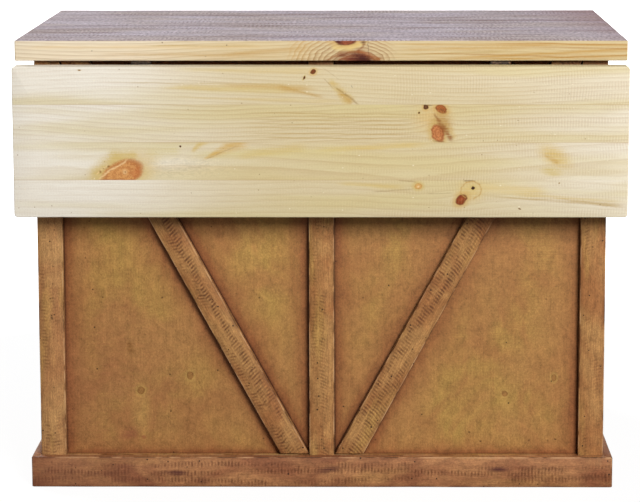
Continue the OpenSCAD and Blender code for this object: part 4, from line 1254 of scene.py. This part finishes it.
BACK_SPOTS += [
    Patch(340, 440, 320, 260, 0, srgb(148, 102, 58), 0.65),
    Patch(-430, 220, 180, 200, 0, srgb(158, 100, 66), 0.5),
    Patch(-365, 96, 6, 4, 0, srgb(132, 60, 46), 0.7),
    Patch(-392, 104, 24, 13, 20, srgb(142, 80, 58), 0.6),
    Stroke(-388, 270, -393, 298, 7, 4, KNOT_SHADE, 1.0),
    Patch(-370, 150, 20, 42, 0, srgb(204, 164, 92), 0.45),
]
BACK_SPOTS += [Knot(*where, 0, KNOT_PALE, KNOT_SHADE, KNOT_HALO) for where in BACK_KNOTS]
back_glaze_and_shade = glazed_and_shaded("back_glaze_and_shade", back_gap, BACK_SPOTS)
side_glaze_and_shade = glazed_and_shaded("side_glaze_and_shade", side_gap)
door_glaze_and_shade = glazed_and_shaded("door_glaze_and_shade", door_gap)

# %% [markdown]
# ## The leaf side of the base
#
# Stiles and rails are straight boards with cuts at their ends. The braces are straight
# boards too, but they stand at a slant and are sawn off level at the top and the bottom, so
# each is made long, turned, and sawn off at two level planes.

# %% Model the leaf side
rebuild("back_left_stile", scarred_finish, "brown_stain", ease=STAIN_EASE)
for name in ("back_right_stile", "back_centre_stile", "back_bottom_rails"):
    rebuild(name, stile_finish, "brown_stain", ease=STAIN_EASE)
rebuild("back_panel", back_glaze_and_shade, "stained_panel", knock=0.0)
FOOT_GAP = 0.0022


def make_brace(node, material):
    """A slanting board between two level saw cuts."""
    (x0, z0), (x1, z1), width = lean(node)
    low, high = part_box(node)
    turn = math.atan2(x1 - x0, z1 - z0)
    half = Vector((width * math.cos(turn), high.y - low.y, math.hypot(x1 - x0, z1 - z0) + width)) / 2
    middle = Vector(((x0 + x1) / 2, (low.y + high.y) / 2, (z0 + z1) / 2))
    made = blank(node + "_wood", middle - half, middle + half, turn)
    bisect((0, 0, high.z), (0, 0, 1), True)
    bisect((0, 0, low.z + FOOT_GAP), (0, 0, -1), True)
    along = Vector((math.sin(turn), 0, math.cos(turn)))
    across = Vector((math.cos(turn), 0, -math.sin(turn)))
    work(made, middle, (along, across, AXES["Y"]), (half.z, half.x, half.y), STAIN_EASE)
    return dress(made, node, material)


make_brace("back_left_brace", brace_finish)
make_brace("back_right_brace", brace_finish)

# %% [markdown]
# ## The plinth
#
# The plinth boards run round the base and meet in mitres. A mitre is a board sawn off at 45
# degrees, through its outer corner.


# %% Model the plinth
def make_plinth(node, material):
    """Plinth boards with both ends mitred towards the inside of the base."""
    boards = []
    for low, high in solids(node):
        middle = (low + high) / 2
        made = blank(node + "_wood", low, high)
        axes, half = box_axes(low, high)
        along = axes[0]
        across = AXES["Y" if along == AXES["X"] else "X"]
        outward = across if middle.dot(across) > 0 else -across
        outer = high if middle.dot(across) > 0 else low
        for end, direction in ((high, along), (low, -along)):
            corner = outer.dot(across) * across + end.dot(along) * along
            bisect(corner, direction - outward, True)
        boards.append(work(made, middle, axes, half, STAIN_EASE))
    return dress(joined(boards), node, material)


make_plinth("plinth_back_board", gouged_and_foot_shaded_finish)
make_plinth("plinth_front_board", plinth_finish)
make_plinth("plinth_side_boards", plinth_finish)

# %% [markdown]
# ## The ends, the face frame and the inside
#
# These boards are all straight. The face frame and the doors have mortises for the hinges:
# shallow pockets cut with a chisel, here with a Boolean and the box of each hinge plate.


# %% Model the frames and the inside
def cut_mortises(made, node):
    """Cuts a pocket into a board wherever a hinge plate's box passes through it."""
    for low, high in solids(node):
        cutter = blank("cutter", low, high)
        bpy.ops.object.mode_set(mode="OBJECT")
        pick(made)
        pocket = made.modifiers.new("mortise", "BOOLEAN")
        pocket.operation = "DIFFERENCE"
        pocket.object = cutter
        bpy.ops.object.modifier_apply(modifier="mortise")
        pick(cutter)
        bpy.ops.object.delete()


for name in ("left_side_panel", "right_side_panel"):
    rebuild(name, side_glaze_and_shade, "stained_panel", knock=0.0)
for name in ("side_stiles", "side_rails", "face_rails", "floor_board", "centre_divider"):
    rebuild(name, stile_finish, "brown_stain", ease=STAIN_EASE)
for name in ("left_shelf", "right_shelf"):
    rebuild(name, stile_finish, "brown_stain", along="X", ease=STAIN_EASE)
face_stiles = rebuild("face_stiles", stile_finish, "brown_stain", ease=STAIN_EASE)
cut_mortises(face_stiles, "door_hinge_frame_plates")


SMALL_KNOTS = (0.14, 0.006, 0.35)


def bare():
    """Planed pine without a finish, as inside a drawer."""
    recipe = Recipe("bare_pine")
    lie = board_lie(recipe)
    late, fine = rings(lie)
    broad = noise(lie.along * 3.0, lie.across * 8.0, lie.seed * 4.0)
    colour = mix(broad.rise(0.3, 0.7), srgb(226, 202, 154), srgb(214, 184, 132))
    colour = mix(late * 0.6, colour, LATE)
    colour = mix(fine.rise(0.35, 0.8) * 0.25, colour, LATE)
    knots = speckle(recipe.surface(), *SMALL_KNOTS)
    colour = mix(knots * 0.9, colour, RED_BROWN)
    colour = mix(arris(recipe).rise(0.001, 0.0) * 0.3, colour, LATE)
    return recipe.finish(colour, fine * 0.2 + 0.55, late * 0.4 + fine * 0.4, PINE_RELIEF)


bare_finish = bare()
# The drawers slide on the runners, so these boards are planed true and not knocked about.
for name in ("plinth_blocks", "drawer_runners", "drawer_guides", "drawer_stops"):
    rebuild(name, bare_finish, "bare_pine", knock=0.0)

# %% [markdown]
# ## Doors and drawers
#
# Left and right are the same, so a loop makes both. A knob is turned on a lathe: it is a
# disc here, pushed out ring by ring, each ring with its own radius.

# %% Model the doors and drawers
KNOB_RINGS = [(0.0015, 0.0098), (0.0035, 0.0096), (0.0050, 0.0072), (0.0100, 0.0056), (0.0140, 0.0060),
              (0.0165, 0.0092), (0.0185, 0.0140), (0.0205, 0.0158), (0.0225, 0.0160), (0.0255, 0.0148),
              (0.0280, 0.0112), (0.0293, 0.0068), (0.0300, 0.0024)]
KNOB_SIDES = 40


def bronze():
    """Oil-rubbed bronze: nearly black, worn warm in patches, with fine scratches."""
    recipe = Recipe("dark_bronze")
    x, y, z = recipe.place
    patch = noise(x, y, z, 90.0, 4.0)
    scratch = noise(x * 300.0, y * 300.0, z * 2600.0, detail=3.0)
    colour = mix(patch.rise(0.45, 0.72), srgb(48, 38, 31), srgb(96, 70, 48))
    colour = mix(scratch.rise(0.62, 0.8) * 0.5, colour, srgb(128, 100, 74))
    recipe.shader.inputs["Metallic"].default_value = 0.85
    height = patch * 0.5 + scratch * 0.3
    return recipe.finish(colour, patch * 0.3 + 0.28, height, BRONZE_RELIEF, METAL_SHINE)


bronze_finish = bronze()


def make_knob(node, material):
    """A turned knob on the front of a door or a drawer."""
    low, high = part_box(node)
    start = Vector(((low.x + high.x) / 2, low.y, (low.z + high.z) / 2))
    bpy.ops.object.select_all(action="DESELECT")
    bpy.ops.mesh.primitive_circle_add(vertices=KNOB_SIDES, radius=KNOB_RINGS[0][1], fill_type="NGON",
                                      location=start, rotation=(math.pi / 2, 0, 0))
    made = bpy.context.object
    made.name = node + "_turned"
    bpy.ops.object.transform_apply(location=True, rotation=True, scale=True)
    bpy.ops.object.mode_set(mode="EDIT")
    bpy.ops.mesh.select_all(action="SELECT")
    out, wide = 0.0, KNOB_RINGS[0][1]
    for far, radius_there in KNOB_RINGS:
        bpy.ops.mesh.extrude_region_move(TRANSFORM_OT_translate={"value": (0, far - out, 0)})
        share = radius_there / wide
        bpy.ops.transform.resize(value=(share, 1, share), center_override=start + Vector((0, far, 0)))
        out, wide = far, radius_there
    bpy.ops.mesh.select_all(action="SELECT")
    bpy.ops.mesh.normals_make_consistent(inside=False)
    bpy.ops.object.mode_set(mode="OBJECT")
    bpy.ops.object.shade_smooth_by_angle(angle=SMOOTH_UNDER)
    return dress(made, node, material)


for side in ("left_", "right_"):
    door_frame = rebuild(side + "door_frame", stile_finish, "brown_stain")
    cut_mortises(door_frame, side + "door_hinge_plates")
    rebuild(side + "door_panel", door_glaze_and_shade, "stained_panel", knock=0.0)
    make_brace(side + "door_brace", brace_finish)
    rebuild(side + "drawer_front", stile_finish, "brown_stain")
    rebuild(side + "drawer_box", bare_finish, "bare_pine")
    make_knob(side + "door_knob", bronze_finish)
    make_knob(side + "drawer_knob", bronze_finish)

# %% [markdown]
# ## Hardware and hidden boards
#
# The hinges, stays, pins and screws have the right shape already, and so have two hidden
# boards with deep screw holes. They keep the CAD mesh and get a material in its slots.


# %% Dress the CAD parts that stay
def steel():
    """Zinc-plated steel: even grey with brushed lines and dull spots."""
    recipe = Recipe("steel")
    x, y, z = recipe.place
    dull = noise(x, y, z, 140.0, 3.0)
    brushed = noise(x * 2400.0, y * 300.0, z * 300.0)
    colour = mix(dull, srgb(150, 150, 148), srgb(198, 196, 190))
    recipe.shader.inputs["Metallic"].default_value = 1.0
    return recipe.finish(colour, dull * 0.3 + brushed * 0.1 + 0.2, brushed, STEEL_RELIEF, METAL_SHINE)


def hidden_pine():
    """Rough pine for the boards under the worktop, whose grain runs along Y."""
    recipe = Recipe("hidden_pine")
    x, y, z = recipe.place
    late, fine = rings(Lie(y, x, z, -0.5, -0.8, RING_PITCH, x * 0.0 + 3.0))
    colour = mix(late * 0.6 + fine.rise(0.35, 0.8) * 0.25, srgb(222, 196, 148), LATE)
    return recipe.finish(colour, fine * 0.2 + 0.6, late * 0.4 + fine * 0.4, PINE_RELIEF)


KEPT = (
    (steel(), "shelf_pins base_screws leaf_screws door_catches left_door_strike right_door_strike"),
    (bronze_finish, "leaf_hinge_top_plates leaf_hinge_leaf_plates hinge_pins stay_body_brackets "
                    "stay_leaf_brackets left_lower_link right_lower_link left_upper_link "
                    "right_upper_link door_hinge_frame_plates left_door_hinge_plates "
                    "right_door_hinge_plates"),
    (hidden_pine(), "worktop_cleats drawer_kickers"),
)
for material, names in KEPT:
    for name in names.split():
        for slot in frame["nodes"][name].material_slots:
            slot.material = material
    print(material.name, "on", names)
